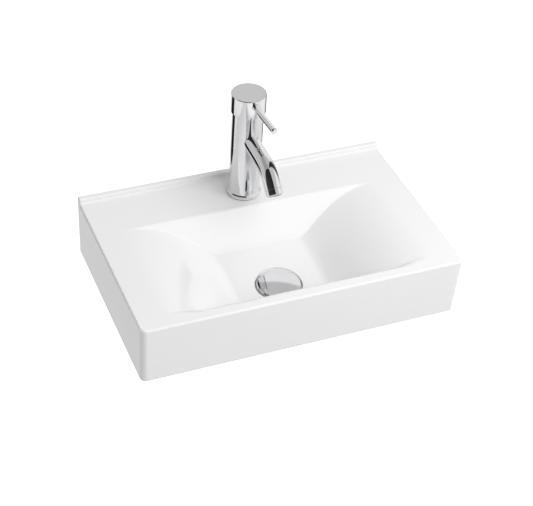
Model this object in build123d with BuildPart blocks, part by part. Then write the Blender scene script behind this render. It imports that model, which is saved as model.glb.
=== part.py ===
from build123d import *
from math import atan, cos, radians, sin, sqrt, tan
import os

# Wall-hung basin with a one-hole mixer tap and a push-open waste, in millimetres.
# Frame: +X to the right seen from the front, +Y into the wall, +Z up.
# The origin is midway between the two wall fixing holes, on the face that meets the wall.

# How far a cutting solid runs past the face that it opens, and the gap round a loose fit
OVERRUN = 1.0
FIT_GAP = 0.1

# Basin, outside
WIDTH = 480.0
DEPTH = 300.0
RIM_Z = 55.0
UNDERSIDE_Z = -41.0
SIDE_DRAFT = 1.4
FRONT_DRAFT = 4.0
CORNER_RADIUS = 9.0
RIM_RADIUS = 3.0
UNDERSIDE_RADIUS = 2.0
UPSTAND_HEIGHT = 8.0
UPSTAND_THICKNESS = 8.5
UPSTAND_COVE = 3.5
UPSTAND_ROUND = 2.5
UPSTAND_ROOT = 6.0

# Basin, walls of the hollow casting
SKIRT_WALL = 12.0
SHELL_WALL = 11.0
FRONT_WALL = 20.0
DECK_THICKNESS = 12.0

# Basin, the planes between the sections of the casting
SECTION_FLOOR_X = 64.0
SECTION_FACET_Y = -116.5
SECTION_FRONT_Y = -262.0

# Bowl: an S-sided trough between a sloping back facet and a steep front wall
TROUGH_HALF_WIDTH = 201.0
FLOOR_HALF_WIDTH = 64.0
TROUGH_START_ANGLE = 3.0
TROUGH_LIFT = 0.15
SIDE_POINTS = [(93.0, 0.73), (125.0, 0.36), (161.0, 0.09)]
FACET_TOP_Y = -87.0
FACET_ANGLE = 62.0
FACET_EDGE_RADIUS = 4.0
FACET_FOOT_RADIUS = 3.0
FRONT_INNER_Y = -279.0
FRONT_WALL_ANGLE = 78.0
FRONT_EDGE_RADIUS = 9.0
FRONT_FOOT_RADIUS = 9.0
ROLL_LIFT = 0.02
ABOVE_RIM = 20.0
FOOT_EDGE_RUN = 60.0
FOOT_EDGE_DROP = 0.3
DRAIN_Y = -199.0
BACK_SECTION_Y = -50.0
FRONT_SECTION_Y = -298.0
DEPTH_AT_BACK = 43.0
DEPTH_AT_DRAIN = 62.0
DEPTH_AT_FRONT = 60.5

# Holes in the casting
TAP_Y = -50.0
TAP_HOLE_R = 17.5
DRAIN_HOLE_R = 23.0
DRAIN_SEAT_R = 34.5
DRAIN_SEAT_DEPTH = 5.0
DRAIN_BOSS_R = 38.0
DRAIN_BOSS_Z = -33.0
FIXING_SPACING = 280.0
FIXING_HOLE_R = 8.0

# Tap, heights above the deck
BASE_GASKET = 1.0
GASKET_INSET = 1.0
FLANGE_R = 25.3
FLANGE_TOP = 7.5
FLANGE_ROUND = 3.0
FLANGE_LIP = 0.4
BODY_R = 23.2
BODY_TOP = 144.0
CHAMBER_R = 17.8
CHAMBER_FLOOR = 112.0
CAP_R = 25.6
CAP_BOTTOM = 144.5
CAP_TOP = 173.0
CAP_CHAMFER = 0.8
CAP_BORE_R = 24.1
CAP_CEILING = 160.0
PIVOT_HEIGHT = 134.0
DOME_R = 25.2
DOME_WALL = 2.0
DOME_OPENING_R = 17.0
DOME_FOOT = 1.8
RING_NUT_TOP = 148.0
RING_NUT_BORE_R = 14.0

# Tap, spout: a straight tube that bends down to the outlet
SPOUT_R = 12.25
SPOUT_HEIGHT = 102.5
SPOUT_FALL = 3.5
SPOUT_ROOT = 19.0
SPOUT_STRAIGHT = 65.5
SPOUT_BEND_R = 58.0
SPOUT_BEND = 39.5
SPOUT_END = 7.0
SPIGOT_R = 10.0
SPIGOT_START = 11.0
GALLERY_R = 8.0
GALLERY_START = 2.0

# Tap, outlet
AERATOR_LENGTH = 9.0
AERATOR_BORE_R = 10.2
AERATOR_INSERT = 5.0
AERATOR_RECESS = 1.0
AERATOR_CHAMFER = 0.4
AERATOR_WASHER = 3.0
AERATOR_HOLE_R = 0.8
AERATOR_RINGS = [(3.0, 6), (6.0, 12)]

# Tap, lever pin
LEVER_R = 4.5
LEVER_RISE = 4.5
LEVER_HEIGHT = 164.4
LEVER_SEAT = 24.6
LEVER_TIP = 97.0
LEVER_TIP_ROUND = 2.4
LEVER_SPIGOT_R = 3.0
LEVER_SPIGOT_START = 9.0
GRUB_R = 2.5
GRUB_START = 3.9
GRUB_LENGTH = 8.0
GRUB_SOCKET = 2.5
GRUB_KEY_FLATS = 2.5

# Tap, mixing cartridge
CARTRIDGE_R = 17.4
CARTRIDGE_BORE_R = 15.0
CARTRIDGE_TOP = 140.0
CARTRIDGE_LIP = 3.2
CARTRIDGE_BASE = 5.0
SEAL_R = 4.5
SEAL_THICKNESS = 1.6
ROTOR_R = 12.7
ROTOR_FLANGE_R = 14.4
ROTOR_GAP = 0.4
ROTOR_BOTTOM = 125.4
ROTOR_SHOULDER = 136.4
ROTOR_TOP = 141.2
SLOT_WIDTH = 8.4
SLOT_LENGTH = 19.0
STEM_SIDE = 7.6
STEM_CLEARANCE = 0.1
STEM_BOTTOM = 130.0
STEM_TOP = 168.0
STEM_FOOT_R = 3.0
STEM_FOOT_BOTTOM = 122.6
PIVOT_PIN_R = 1.5
PIVOT_PIN_LENGTH = 24.0
PIVOT_CLEARANCE = 0.06
PORT_R = 3.0
FIXED_DISC_R = 14.0
DISC_THICKNESS = 4.0
DISC_GAP = 0.1
MOVING_DISC_R = 12.0
MOVING_DISC_BACK = 2.1
DISC_POCKET_R = 4.4
DISC_POCKET_DEPTH = 3.0

# Tap, inlets and fixing under the deck
PORTS = [(-8.5, 4.0), (8.5, 4.0), (0.0, -7.5)]
INLET_R = 5.0
INLET_DEPTH = 12.0
STUD_R = 4.0
STUD_FORWARD = 11.0
STUD_DEPTH = 12.0
STUD_BOTTOM = -42.0
STUD_CHAMFER = 0.6
SHOE_R = 24.0
SHOE_GAP = 30.0
SHOE_HOLE_R = 4.3
RUBBER_SHOE = 3.0
STEEL_SHOE = 2.5
STUD_NUT_HEIGHT = 8.0
STUD_NUT_FLATS = 13.0

# Waste, heights in the basin's frame
WASTE_TUBE_R = 20.95
WASTE_BORE_R = 18.4
WASTE_BOTTOM_Z = -76.0
WASTE_FLANGE_R = 32.5
WASTE_GASKET = 1.5
WASTE_FLANGE = 3.5
WASTE_FLANGE_EDGE = 0.6
WASTE_END_CHAMFER = 0.8
WASTE_GROOVE_Z = -48.0
WASTE_GROOVE_WIDTH = 1.5
WASTE_GROOVE_DEPTH = 0.8
DISH_R = 30.0
DISH_THROAT_R = 21.5
DISH_DEPTH = 2.2
THROAT_DEPTH = 5.3
SPIDER_Z = -32.0
SPIDER_HEIGHT = 4.0
SPIDER_RING_R = 11.0
SPIDER_ARM = 3.0
BARREL_R = 8.0
BARREL_BORE_R = 5.4
BARREL_TOP_Z = -20.0
BARREL_BOTTOM_Z = -60.0
BARREL_END = 3.0
BARREL_COLLAR = 2.5
SPINDLE_R = 3.0
SPINDLE_BORE_R = 3.08
SPINDLE_COLLAR_R = 5.0
SPINDLE_COLLAR_Z = -38.0
SPINDLE_COLLAR = 5.0
SPINDLE_SEAT = 1.0
SPRING_R = 4.2
SPRING_WIRE_R = 0.5
SPRING_TURNS = 5
SPRING_GAP = 0.2
PLUG_R = 32.0
PLUG_GAP = 0.3
PLUG_EDGE = 2.4
PLUG_CROWN = 2.2
PLUG_ROUND = 0.9
PLUG_CHAMFER = 0.5
SEAL_OUTER_R = 27.5
SEAL_INNER_R = 21.0
SEAL_LIP = 0.6
SEAL_DEPTH = 1.8
HUB_R = 6.5
HUB_DEPTH = 7.3
CONE_WASHER = 3.0
CONE_WASHER_R = 32.0
CONE_TAPER = 1.2
CONE_HEIGHT = 4.0
SLIP_WASHER = 1.5
SLIP_WASHER_R = 31.0
BACKNUT_HEIGHT = 9.0
BACKNUT_FLATS = 54.0

# Wall fixings, sized for M10 studs
BUSH_BORE_R = 5.2
BUSH_FLANGE_R = 13.0
BUSH_FLANGE = 2.0
WASHER_R = 15.0
WASHER_BORE_R = 5.3
WASHER_THICKNESS = 2.5
NUT_FLATS = 17.0
NUT_BORE_R = 5.1
NUT_HEIGHT = 8.0

FLOOR_Z = RIM_Z - DEPTH_AT_DRAIN
SEAT_Z = FLOOR_Z - DRAIN_SEAT_DEPTH
FLANGE_Z = SEAT_Z + WASTE_GASKET
MID_BOWL_Y = 0.5 * (FACET_TOP_Y + FRONT_INNER_Y)
TAP_AXIS = Axis((0, TAP_Y, 0), (0, 0, 1))
WASTE_AXIS = Axis((0, DRAIN_Y, 0), (0, 0, 1))

# Planes through the tap and the waste: level ones, and standing ones with x as the radius
TAP_LEVEL = Plane(origin=(0, TAP_Y, RIM_Z))
TAP_RADIUS = Plane(origin=(0, TAP_Y, RIM_Z), x_dir=(1, 0, 0), z_dir=(0, -1, 0))
WASTE_LEVEL = Plane(origin=(0, DRAIN_Y, 0))
WASTE_RADIUS = Plane(origin=(0, DRAIN_Y, 0), x_dir=(1, 0, 0), z_dir=(0, -1, 0))


def reach_plane(reach, height, rise):
    """A plane square to a line that leaves the tap forward, at a reach and height, rising in degrees."""
    tilt = radians(rise)
    foot = (0, TAP_Y - reach, RIM_Z + height)
    return Plane(origin=foot, x_dir=(1, 0, 0), z_dir=(0, -cos(tilt), sin(tilt)))


def trough_section(y, depth, drop):
    """A cross-section of the bowl's space: flat floor, S-shaped sides, open to above the rim."""
    level = RIM_Z - drop
    side = [(FLOOR_HALF_WIDTH, level - depth)]
    side += [(x, level - share * depth) for x, share in SIDE_POINTS]
    side += [(TROUGH_HALF_WIDTH, level + TROUGH_LIFT)]
    other = [(-x, z) for x, z in side]
    rise = sin(radians(TROUGH_START_ANGLE))
    top = RIM_Z + ABOVE_RIM
    with BuildSketch(Plane.XZ.offset(-y)) as section:
        with BuildLine():
            Line(other[0], side[0])
            Spline(*side, tangents=[(1, 0), (1, rise)])
            Polyline(side[-1], (TROUGH_HALF_WIDTH, top), (-TROUGH_HALF_WIDTH, top), other[-1])
            Spline(*other, tangents=[(-1, 0), (-1, rise)])
        make_face()
    return section.sketch


def foot_edges(edges, at_facet):
    """The curved edges where the bowl's floor and sides meet its facet, or its front wall."""
    across = edges.filter_by(GeomType.BSPLINE)
    across = across.filter_by(lambda edge: edge.bounding_box().size.Y < FOOT_EDGE_RUN)
    across = across.filter_by(lambda edge: edge.center().Z < RIM_Z - FOOT_EDGE_DROP)
    return across.filter_by(lambda edge: (edge.center().Y > MID_BOWL_Y) == at_facet)


def bowl_space(drop, facet_grow, front_grow):
    """The space in the bowl, lowered by drop, its facet and front wall moved out by the grows."""
    facet = radians(FACET_ANGLE)
    wall = radians(FRONT_WALL_ANGLE)
    facet_y = FACET_TOP_Y + facet_grow / sin(facet)
    front_y = FRONT_INNER_Y - front_grow / sin(wall)
    facet_back = FACET_EDGE_RADIUS * tan(facet / 2)
    front_back = FRONT_EDGE_RADIUS * tan(wall / 2)
    rim = RIM_Z + ROLL_LIFT
    top = RIM_Z + ABOVE_RIM
    run = 2 * DEPTH_AT_DRAIN
    facet_foot = (facet_y - run / tan(facet), RIM_Z - run)
    front_foot = (front_y + run / tan(wall), RIM_Z - run)
    facet_roll = (facet_y - facet_back * cos(facet), rim - facet_back * sin(facet))
    front_roll = (front_y + front_back * cos(wall), rim - front_back * sin(wall))
    with BuildPart() as space:
        add(trough_section(BACK_SECTION_Y, DEPTH_AT_BACK, drop))
        add(trough_section(DRAIN_Y, DEPTH_AT_DRAIN, drop))
        add(trough_section(FRONT_SECTION_Y, DEPTH_AT_FRONT, drop))
        loft()
        with BuildSketch(Plane.YZ):
            with BuildLine():
                Polyline((front_y - front_back, rim), (front_y - front_back, top),
                         (facet_y + facet_back, top), (facet_y + facet_back, rim))
                TangentArc((facet_y + facet_back, rim), facet_roll, tangent=(-1, 0))
                Polyline(facet_roll, facet_foot, front_foot, front_roll)
                TangentArc((front_y - front_back, rim), front_roll, tangent=(1, 0))
            make_face()
        extrude(amount=WIDTH, both=True, mode=Mode.INTERSECT)
        if drop == 0:
            fillet(foot_edges(space.edges(), True), FACET_FOOT_RADIUS)
            fillet(foot_edges(space.edges(), False), FRONT_FOOT_RADIUS)
    return space.part


def outline(half_width, front_y):
    """The basin's plan outline, square at the wall and rounded at the two front corners."""
    with BuildLine() as line:
        FilletPolyline((-half_width, 0), (-half_width, front_y), (half_width, front_y), (half_width, 0),
                       radius=CORNER_RADIUS)
        Line((half_width, 0), (-half_width, 0))
    return line.line


bowl = bowl_space(0.0, 0.0, 0.0)
bowl_shell = bowl_space(SHELL_WALL, SHELL_WALL, FRONT_WALL)

# The upstand along the wall: rounded on top, with a cove where it meets the deck
with BuildPart() as upstand:
    with BuildSketch(Plane.YZ.offset(-WIDTH / 2)):
        with BuildLine():
            top = RIM_Z + UPSTAND_HEIGHT
            face = -UPSTAND_THICKNESS
            toe = face - UPSTAND_COVE
            root = RIM_Z - UPSTAND_ROOT
            Polyline((toe, RIM_Z), (toe, root), (0, root), (0, top), (face + UPSTAND_ROUND, top))
            TangentArc((face + UPSTAND_ROUND, top), (face, top - UPSTAND_ROUND), tangent=(-1, 0))
            Line((face, top - UPSTAND_ROUND), (face, RIM_Z + UPSTAND_COVE))
            TangentArc((face, RIM_Z + UPSTAND_COVE), (toe, RIM_Z), tangent=(0, -1))
        make_face()
    extrude(amount=WIDTH)
    fillet(upstand.edges().filter_by(Axis.Y).group_by(Axis.Z)[-1], UPSTAND_ROUND)

# The casting's hollow: everything under the deck that is not the bowl's own shell or the waste boss
with BuildPart() as hollow:
    with BuildSketch(Plane.XY.offset(UNDERSIDE_Z)):
        half = WIDTH / 2 - SIDE_DRAFT - SKIRT_WALL
        front = -DEPTH + FRONT_DRAFT + SKIRT_WALL
        with Locations((0, 0.5 * (front - SKIRT_WALL))):
            Rectangle(2 * half, -SKIRT_WALL - front)
    extrude(amount=RIM_Z - DECK_THICKNESS - UNDERSIDE_Z)
    add(bowl_shell, mode=Mode.SUBTRACT)
    with BuildSketch(WASTE_LEVEL.offset(DRAIN_BOSS_Z)):
        Circle(DRAIN_BOSS_R)
    extrude(amount=DEPTH_AT_DRAIN, mode=Mode.SUBTRACT)

# Basin casting: a drafted box with a rounded rim, the bowl sunk in it, open from below
with BuildPart() as casting:
    with BuildSketch(Plane.XY.offset(UNDERSIDE_Z)):
        add(outline(WIDTH / 2 - SIDE_DRAFT, -DEPTH + FRONT_DRAFT))
        make_face()
    with BuildSketch(Plane.XY.offset(RIM_Z)):
        add(outline(WIDTH / 2, -DEPTH))
        make_face()
    loft()
    rim_edges = casting.edges().group_by(Axis.Z)[-1]
    fillet(rim_edges.filter_by(lambda edge: edge.center().Y < -1), RIM_RADIUS)
    foot = casting.edges().group_by(Axis.Z)[0]
    fillet(foot.filter_by(lambda edge: edge.center().Y < -1), UNDERSIDE_RADIUS)
    add(upstand)
    add(hollow, mode=Mode.SUBTRACT)
    add(bowl, mode=Mode.SUBTRACT)
    with BuildSketch(TAP_LEVEL):
        Circle(TAP_HOLE_R)
    extrude(amount=DECK_THICKNESS + OVERRUN, both=True, mode=Mode.SUBTRACT)
    with BuildSketch(WASTE_LEVEL.offset(SEAT_Z)):
        Circle(DRAIN_SEAT_R)
    extrude(amount=DRAIN_SEAT_DEPTH + SHELL_WALL, mode=Mode.SUBTRACT)
    with BuildSketch(WASTE_LEVEL.offset(SEAT_Z)):
        Circle(DRAIN_HOLE_R)
    extrude(amount=DRAIN_BOSS_Z - SEAT_Z - OVERRUN, mode=Mode.SUBTRACT)
    with BuildSketch(Plane.XZ):
        with GridLocations(FIXING_SPACING, 1, 2, 1):
            Circle(FIXING_HOLE_R)
    extrude(amount=SKIRT_WALL + OVERRUN, mode=Mode.SUBTRACT)


def cut_out(x_low, x_high, y_low, y_high):
    """The section of the casting between four upright planes."""
    height = 2 * (WIDTH - UNDERSIDE_Z)
    with BuildPart() as section:
        add(casting)
        with Locations((0.5 * (x_low + x_high), 0.5 * (y_low + y_high), 0)):
            Box(x_high - x_low, y_high - y_low, height, mode=Mode.INTERSECT)
    return section


# The casting is one ceramic body. It is stored in ten sections that meet on flat planes and don't
# overlap, because the bowl's shell, the deck and each wall of the hollow collide true only on their own.
wall_x = WIDTH / 2 - SIDE_DRAFT - SKIRT_WALL
front_y = -DEPTH + FRONT_DRAFT + SKIRT_WALL
facet_back_y = FACET_TOP_Y + SHELL_WALL / sin(radians(FACET_ANGLE))
basin_back_wall = cut_out(-WIDTH, WIDTH, -SKIRT_WALL, OVERRUN)
basin_front_wall = cut_out(-WIDTH, WIDTH, -DEPTH - OVERRUN, front_y)
basin_left_wall = cut_out(-WIDTH, -wall_x, front_y, -SKIRT_WALL)
basin_right_wall = cut_out(wall_x, WIDTH, front_y, -SKIRT_WALL)
basin_deck = cut_out(-wall_x, wall_x, facet_back_y, -SKIRT_WALL)
basin_slope_left = cut_out(-wall_x, -SECTION_FLOOR_X, SECTION_FRONT_Y, facet_back_y)
basin_slope_right = cut_out(SECTION_FLOOR_X, wall_x, SECTION_FRONT_Y, facet_back_y)
basin_facet = cut_out(-SECTION_FLOOR_X, SECTION_FLOOR_X, SECTION_FACET_Y, facet_back_y)
basin_floor = cut_out(-SECTION_FLOOR_X, SECTION_FLOOR_X, SECTION_FRONT_Y, SECTION_FACET_Y)
basin_bowl_front = cut_out(-wall_x, wall_x, front_y, SECTION_FRONT_Y)

# Tap body: flange, column, cartridge chamber from above, inlets and stud socket from below
root_height = SPOUT_HEIGHT - SPOUT_ROOT * tan(radians(SPOUT_FALL))
spigot_height = SPOUT_HEIGHT - SPIGOT_START * tan(radians(SPOUT_FALL))
gallery_height = SPOUT_HEIGHT - GALLERY_START * tan(radians(SPOUT_FALL))
spout_root_plane = reach_plane(SPOUT_ROOT, root_height, -SPOUT_FALL)
spigot_plane = reach_plane(SPIGOT_START, spigot_height, -SPOUT_FALL)
with BuildPart() as tap_body:
    with BuildSketch(TAP_RADIUS):
        with BuildLine():
            flange_lip = (BODY_R, FLANGE_TOP - FLANGE_LIP)
            flange_side = (FLANGE_R, FLANGE_TOP - FLANGE_ROUND)
            Polyline(flange_lip, (BODY_R, BODY_TOP), (CHAMBER_R, BODY_TOP), (CHAMBER_R, CHAMBER_FLOOR),
                     (0, CHAMBER_FLOOR), (0, BASE_GASKET), (FLANGE_R, BASE_GASKET), flange_side)
            TangentArc(flange_side, flange_lip, tangent=(0, 1))
        make_face()
    revolve(axis=TAP_AXIS)
    with BuildSketch(TAP_LEVEL.offset(CHAMBER_FLOOR)):
        with Locations(*PORTS):
            Circle(PORT_R)
    extrude(amount=SPOUT_HEIGHT - CHAMBER_FLOOR, mode=Mode.SUBTRACT)
    with BuildSketch(TAP_LEVEL.offset(BASE_GASKET)):
        with Locations(*PORTS[:2]):
            Circle(PORT_R)
    extrude(amount=CHAMBER_FLOOR - BASE_GASKET, mode=Mode.SUBTRACT)
    with BuildSketch(TAP_LEVEL.offset(BASE_GASKET)):
        with Locations(*PORTS[:2]):
            Circle(INLET_R)
    extrude(amount=INLET_DEPTH, mode=Mode.SUBTRACT)
    with BuildSketch(TAP_LEVEL.offset(BASE_GASKET)):
        with Locations((0, -STUD_FORWARD)):
            Circle(STUD_R)
    extrude(amount=STUD_DEPTH, mode=Mode.SUBTRACT)
    with BuildSketch(reach_plane(GALLERY_START, gallery_height, -SPOUT_FALL)):
        Circle(GALLERY_R)
    extrude(amount=SPIGOT_START - GALLERY_START, mode=Mode.SUBTRACT)
    with BuildSketch(spigot_plane):
        Circle(SPIGOT_R)
    extrude(amount=SPOUT_ROOT, mode=Mode.SUBTRACT)
    with BuildSketch(spout_root_plane):
        Circle(SPOUT_R)
    extrude(amount=SPOUT_ROOT, mode=Mode.SUBTRACT)

with BuildPart() as tap_base_gasket:
    with BuildSketch(TAP_LEVEL):
        Circle(FLANGE_R - GASKET_INSET)
        Circle(TAP_HOLE_R, mode=Mode.SUBTRACT)
    extrude(amount=BASE_GASKET)

# Spout: one tube, straight then bent, with a spigot that plugs into the body
fall_start = radians(-SPOUT_FALL)
fall_end = radians(-SPOUT_FALL - SPOUT_BEND)
bend_start = Vector(SPOUT_STRAIGHT, SPOUT_HEIGHT + SPOUT_STRAIGHT * tan(fall_start))
bend_centre = bend_start + Vector(sin(fall_start), -cos(fall_start)) * SPOUT_BEND_R
bend_end = bend_centre + Vector(-sin(fall_end), cos(fall_end)) * SPOUT_BEND_R
spout_end = bend_end + Vector(cos(fall_end), sin(fall_end)) * SPOUT_END


def spout_rod(radius):
    """The spout's route as a solid rod: straight run, bend and short straight end."""
    bend_axis = Axis((0, TAP_Y - bend_centre.X, RIM_Z + bend_centre.Y), (1, 0, 0))
    with BuildPart() as rod:
        with BuildSketch(spout_root_plane):
            Circle(radius)
        extrude(amount=(SPOUT_STRAIGHT - SPOUT_ROOT) / cos(fall_start))
        with BuildSketch(reach_plane(bend_start.X, bend_start.Y, -SPOUT_FALL)):
            Circle(radius)
        revolve(axis=bend_axis, revolution_arc=SPOUT_BEND)
        with BuildSketch(reach_plane(bend_end.X, bend_end.Y, -SPOUT_FALL - SPOUT_BEND)):
            Circle(radius)
        extrude(amount=SPOUT_END)
    return rod.part


with BuildPart() as tap_spout:
    add(spout_rod(SPOUT_R))
    with BuildSketch(spigot_plane):
        Circle(SPIGOT_R)
    extrude(amount=(SPOUT_ROOT - SPIGOT_START) / cos(fall_start))
    add(spout_rod(GALLERY_R), mode=Mode.SUBTRACT)
    with BuildSketch(spigot_plane):
        Circle(GALLERY_R)
    extrude(amount=(SPOUT_ROOT - SPIGOT_START) / cos(fall_start) + OVERRUN, mode=Mode.SUBTRACT)

# Aerator: a threaded ring on the spout's end, with its rubber washer and perforated insert
outlet_plane = reach_plane(spout_end.X, spout_end.Y, -SPOUT_FALL - SPOUT_BEND)
with BuildPart() as aerator_housing:
    with BuildSketch(outlet_plane):
        Circle(SPOUT_R)
        Circle(AERATOR_BORE_R, mode=Mode.SUBTRACT)
    extrude(amount=AERATOR_LENGTH)
    rims = aerator_housing.edges().filter_by(GeomType.CIRCLE)
    chamfer(rims.filter_by(lambda edge: edge.radius > AERATOR_BORE_R + FIT_GAP), AERATOR_CHAMFER)

with BuildPart() as aerator_washer:
    with BuildSketch(outlet_plane):
        Circle(AERATOR_BORE_R)
        Circle(AERATOR_BORE_R - AERATOR_WASHER, mode=Mode.SUBTRACT)
    extrude(amount=AERATOR_LENGTH - AERATOR_RECESS - AERATOR_INSERT)

with BuildPart() as aerator_insert:
    with BuildSketch(outlet_plane.offset(AERATOR_LENGTH - AERATOR_RECESS - AERATOR_INSERT)):
        Circle(AERATOR_BORE_R)
        Circle(AERATOR_HOLE_R, mode=Mode.SUBTRACT)
        for ring_r, count in AERATOR_RINGS:
            with PolarLocations(ring_r, count):
                Circle(AERATOR_HOLE_R, mode=Mode.SUBTRACT)
    extrude(amount=AERATOR_INSERT)

# Cartridge, fixed half: ported base with three seals, fixed disc, housing and the nut that holds it
with BuildPart() as cartridge_base:
    with BuildSketch(TAP_LEVEL.offset(CHAMBER_FLOOR)):
        Circle(CARTRIDGE_R)
        with Locations(*PORTS):
            Circle(PORT_R, mode=Mode.SUBTRACT)
    extrude(amount=CARTRIDGE_BASE)
    with BuildSketch(TAP_LEVEL.offset(CHAMBER_FLOOR)):
        with Locations(*PORTS):
            Circle(SEAL_R)
    extrude(amount=SEAL_THICKNESS, mode=Mode.SUBTRACT)

with BuildPart() as cartridge_seals:
    with BuildSketch(TAP_LEVEL.offset(CHAMBER_FLOOR)):
        with Locations(*PORTS):
            Circle(SEAL_R)
            Circle(PORT_R, mode=Mode.SUBTRACT)
    extrude(amount=SEAL_THICKNESS)

fixed_disc_top = CHAMBER_FLOOR + CARTRIDGE_BASE + DISC_THICKNESS
with BuildPart() as fixed_disc:
    with BuildSketch(TAP_LEVEL.offset(CHAMBER_FLOOR + CARTRIDGE_BASE)):
        Circle(FIXED_DISC_R)
        with Locations(*PORTS):
            Circle(PORT_R, mode=Mode.SUBTRACT)
    extrude(amount=DISC_THICKNESS)

with BuildPart() as cartridge_housing:
    with BuildSketch(TAP_LEVEL.offset(CHAMBER_FLOOR + CARTRIDGE_BASE)):
        Circle(CARTRIDGE_R)
    extrude(amount=CARTRIDGE_TOP - CHAMBER_FLOOR - CARTRIDGE_BASE)
    with BuildSketch(TAP_LEVEL.offset(CHAMBER_FLOOR + CARTRIDGE_BASE)):
        Circle(CARTRIDGE_BORE_R)
    extrude(amount=CARTRIDGE_TOP - CARTRIDGE_LIP - CHAMBER_FLOOR - CARTRIDGE_BASE, mode=Mode.SUBTRACT)
    with BuildSketch(TAP_LEVEL.offset(CARTRIDGE_TOP)):
        Circle(ROTOR_R + ROTOR_GAP)
    extrude(amount=-CARTRIDGE_LIP, mode=Mode.SUBTRACT)

with BuildPart() as cartridge_nut:
    with BuildSketch(TAP_LEVEL.offset(CARTRIDGE_TOP)):
        Circle(CHAMBER_R - FIT_GAP)
        Circle(RING_NUT_BORE_R, mode=Mode.SUBTRACT)
    extrude(amount=RING_NUT_TOP - CARTRIDGE_TOP)

# Dome ring between body and cap, centred on the lever's pivot so that the cap tilts round it
with BuildPart() as dome_ring:
    with BuildSketch(TAP_RADIUS):
        with BuildLine():
            inner_r = DOME_R - DOME_WALL
            bore_r = CHAMBER_R + FIT_GAP
            foot_rise = BODY_TOP - PIVOT_HEIGHT
            lip_rise = foot_rise + DOME_FOOT
            outer_foot = (sqrt(DOME_R**2 - foot_rise**2), BODY_TOP)
            outer_lip = (DOME_OPENING_R, PIVOT_HEIGHT + sqrt(DOME_R**2 - DOME_OPENING_R**2))
            inner_lip = (DOME_OPENING_R, PIVOT_HEIGHT + sqrt(inner_r**2 - DOME_OPENING_R**2))
            inner_foot = (sqrt(inner_r**2 - lip_rise**2), BODY_TOP + DOME_FOOT)
            RadiusArc(outer_foot, outer_lip, -DOME_R)
            Line(outer_lip, inner_lip)
            RadiusArc(inner_lip, inner_foot, inner_r)
            Polyline(inner_foot, (bore_r, BODY_TOP + DOME_FOOT), (bore_r, BODY_TOP), outer_foot)
        make_face()
    revolve(axis=TAP_AXIS)

# Cartridge, swivelling half: rotor, pivot pin, and the moving disc that the stem slides
with BuildPart() as cartridge_rotor:
    with BuildSketch(TAP_LEVEL.offset(ROTOR_BOTTOM)):
        Circle(ROTOR_FLANGE_R)
    extrude(amount=ROTOR_SHOULDER - ROTOR_BOTTOM)
    with BuildSketch(TAP_LEVEL.offset(ROTOR_SHOULDER)):
        Circle(ROTOR_R)
    extrude(amount=ROTOR_TOP - ROTOR_SHOULDER)
    with BuildSketch(TAP_LEVEL.offset(ROTOR_BOTTOM)):
        Rectangle(SLOT_WIDTH, SLOT_LENGTH)
    extrude(amount=ROTOR_TOP - ROTOR_BOTTOM, mode=Mode.SUBTRACT)
    with BuildSketch(Plane.YZ):
        with Locations((TAP_Y, RIM_Z + PIVOT_HEIGHT)):
            Circle(PIVOT_PIN_R)
    extrude(amount=PIVOT_PIN_LENGTH / 2, both=True, mode=Mode.SUBTRACT)

with BuildPart() as stem_pivot_pin:
    with BuildSketch(Plane.YZ):
        with Locations((TAP_Y, RIM_Z + PIVOT_HEIGHT)):
            Circle(PIVOT_PIN_R)
    extrude(amount=PIVOT_PIN_LENGTH / 2, both=True)

moving_disc_bottom = fixed_disc_top + DISC_GAP
with BuildPart() as moving_disc:
    with BuildSketch(TAP_LEVEL.offset(moving_disc_bottom)):
        with Locations((0, MOVING_DISC_BACK)):
            Circle(MOVING_DISC_R)
    extrude(amount=DISC_THICKNESS)
    with BuildSketch(TAP_LEVEL.offset(moving_disc_bottom + DISC_THICKNESS)):
        Circle(DISC_POCKET_R)
    extrude(amount=-DISC_POCKET_DEPTH, mode=Mode.SUBTRACT)

# Lever group: square stem, cap, lever pin and grub screw tilt together
with BuildPart() as control_stem:
    with BuildSketch(TAP_LEVEL.offset(STEM_BOTTOM)):
        Rectangle(STEM_SIDE, STEM_SIDE)
    extrude(amount=STEM_TOP - STEM_BOTTOM)
    with BuildSketch(TAP_LEVEL.offset(STEM_FOOT_BOTTOM)):
        Circle(STEM_FOOT_R)
    extrude(amount=STEM_BOTTOM - STEM_FOOT_BOTTOM)
    with BuildSketch(Plane.YZ):
        with Locations((TAP_Y, RIM_Z + PIVOT_HEIGHT)):
            Circle(PIVOT_PIN_R + PIVOT_CLEARANCE)
    extrude(amount=STEM_SIDE, both=True, mode=Mode.SUBTRACT)

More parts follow.
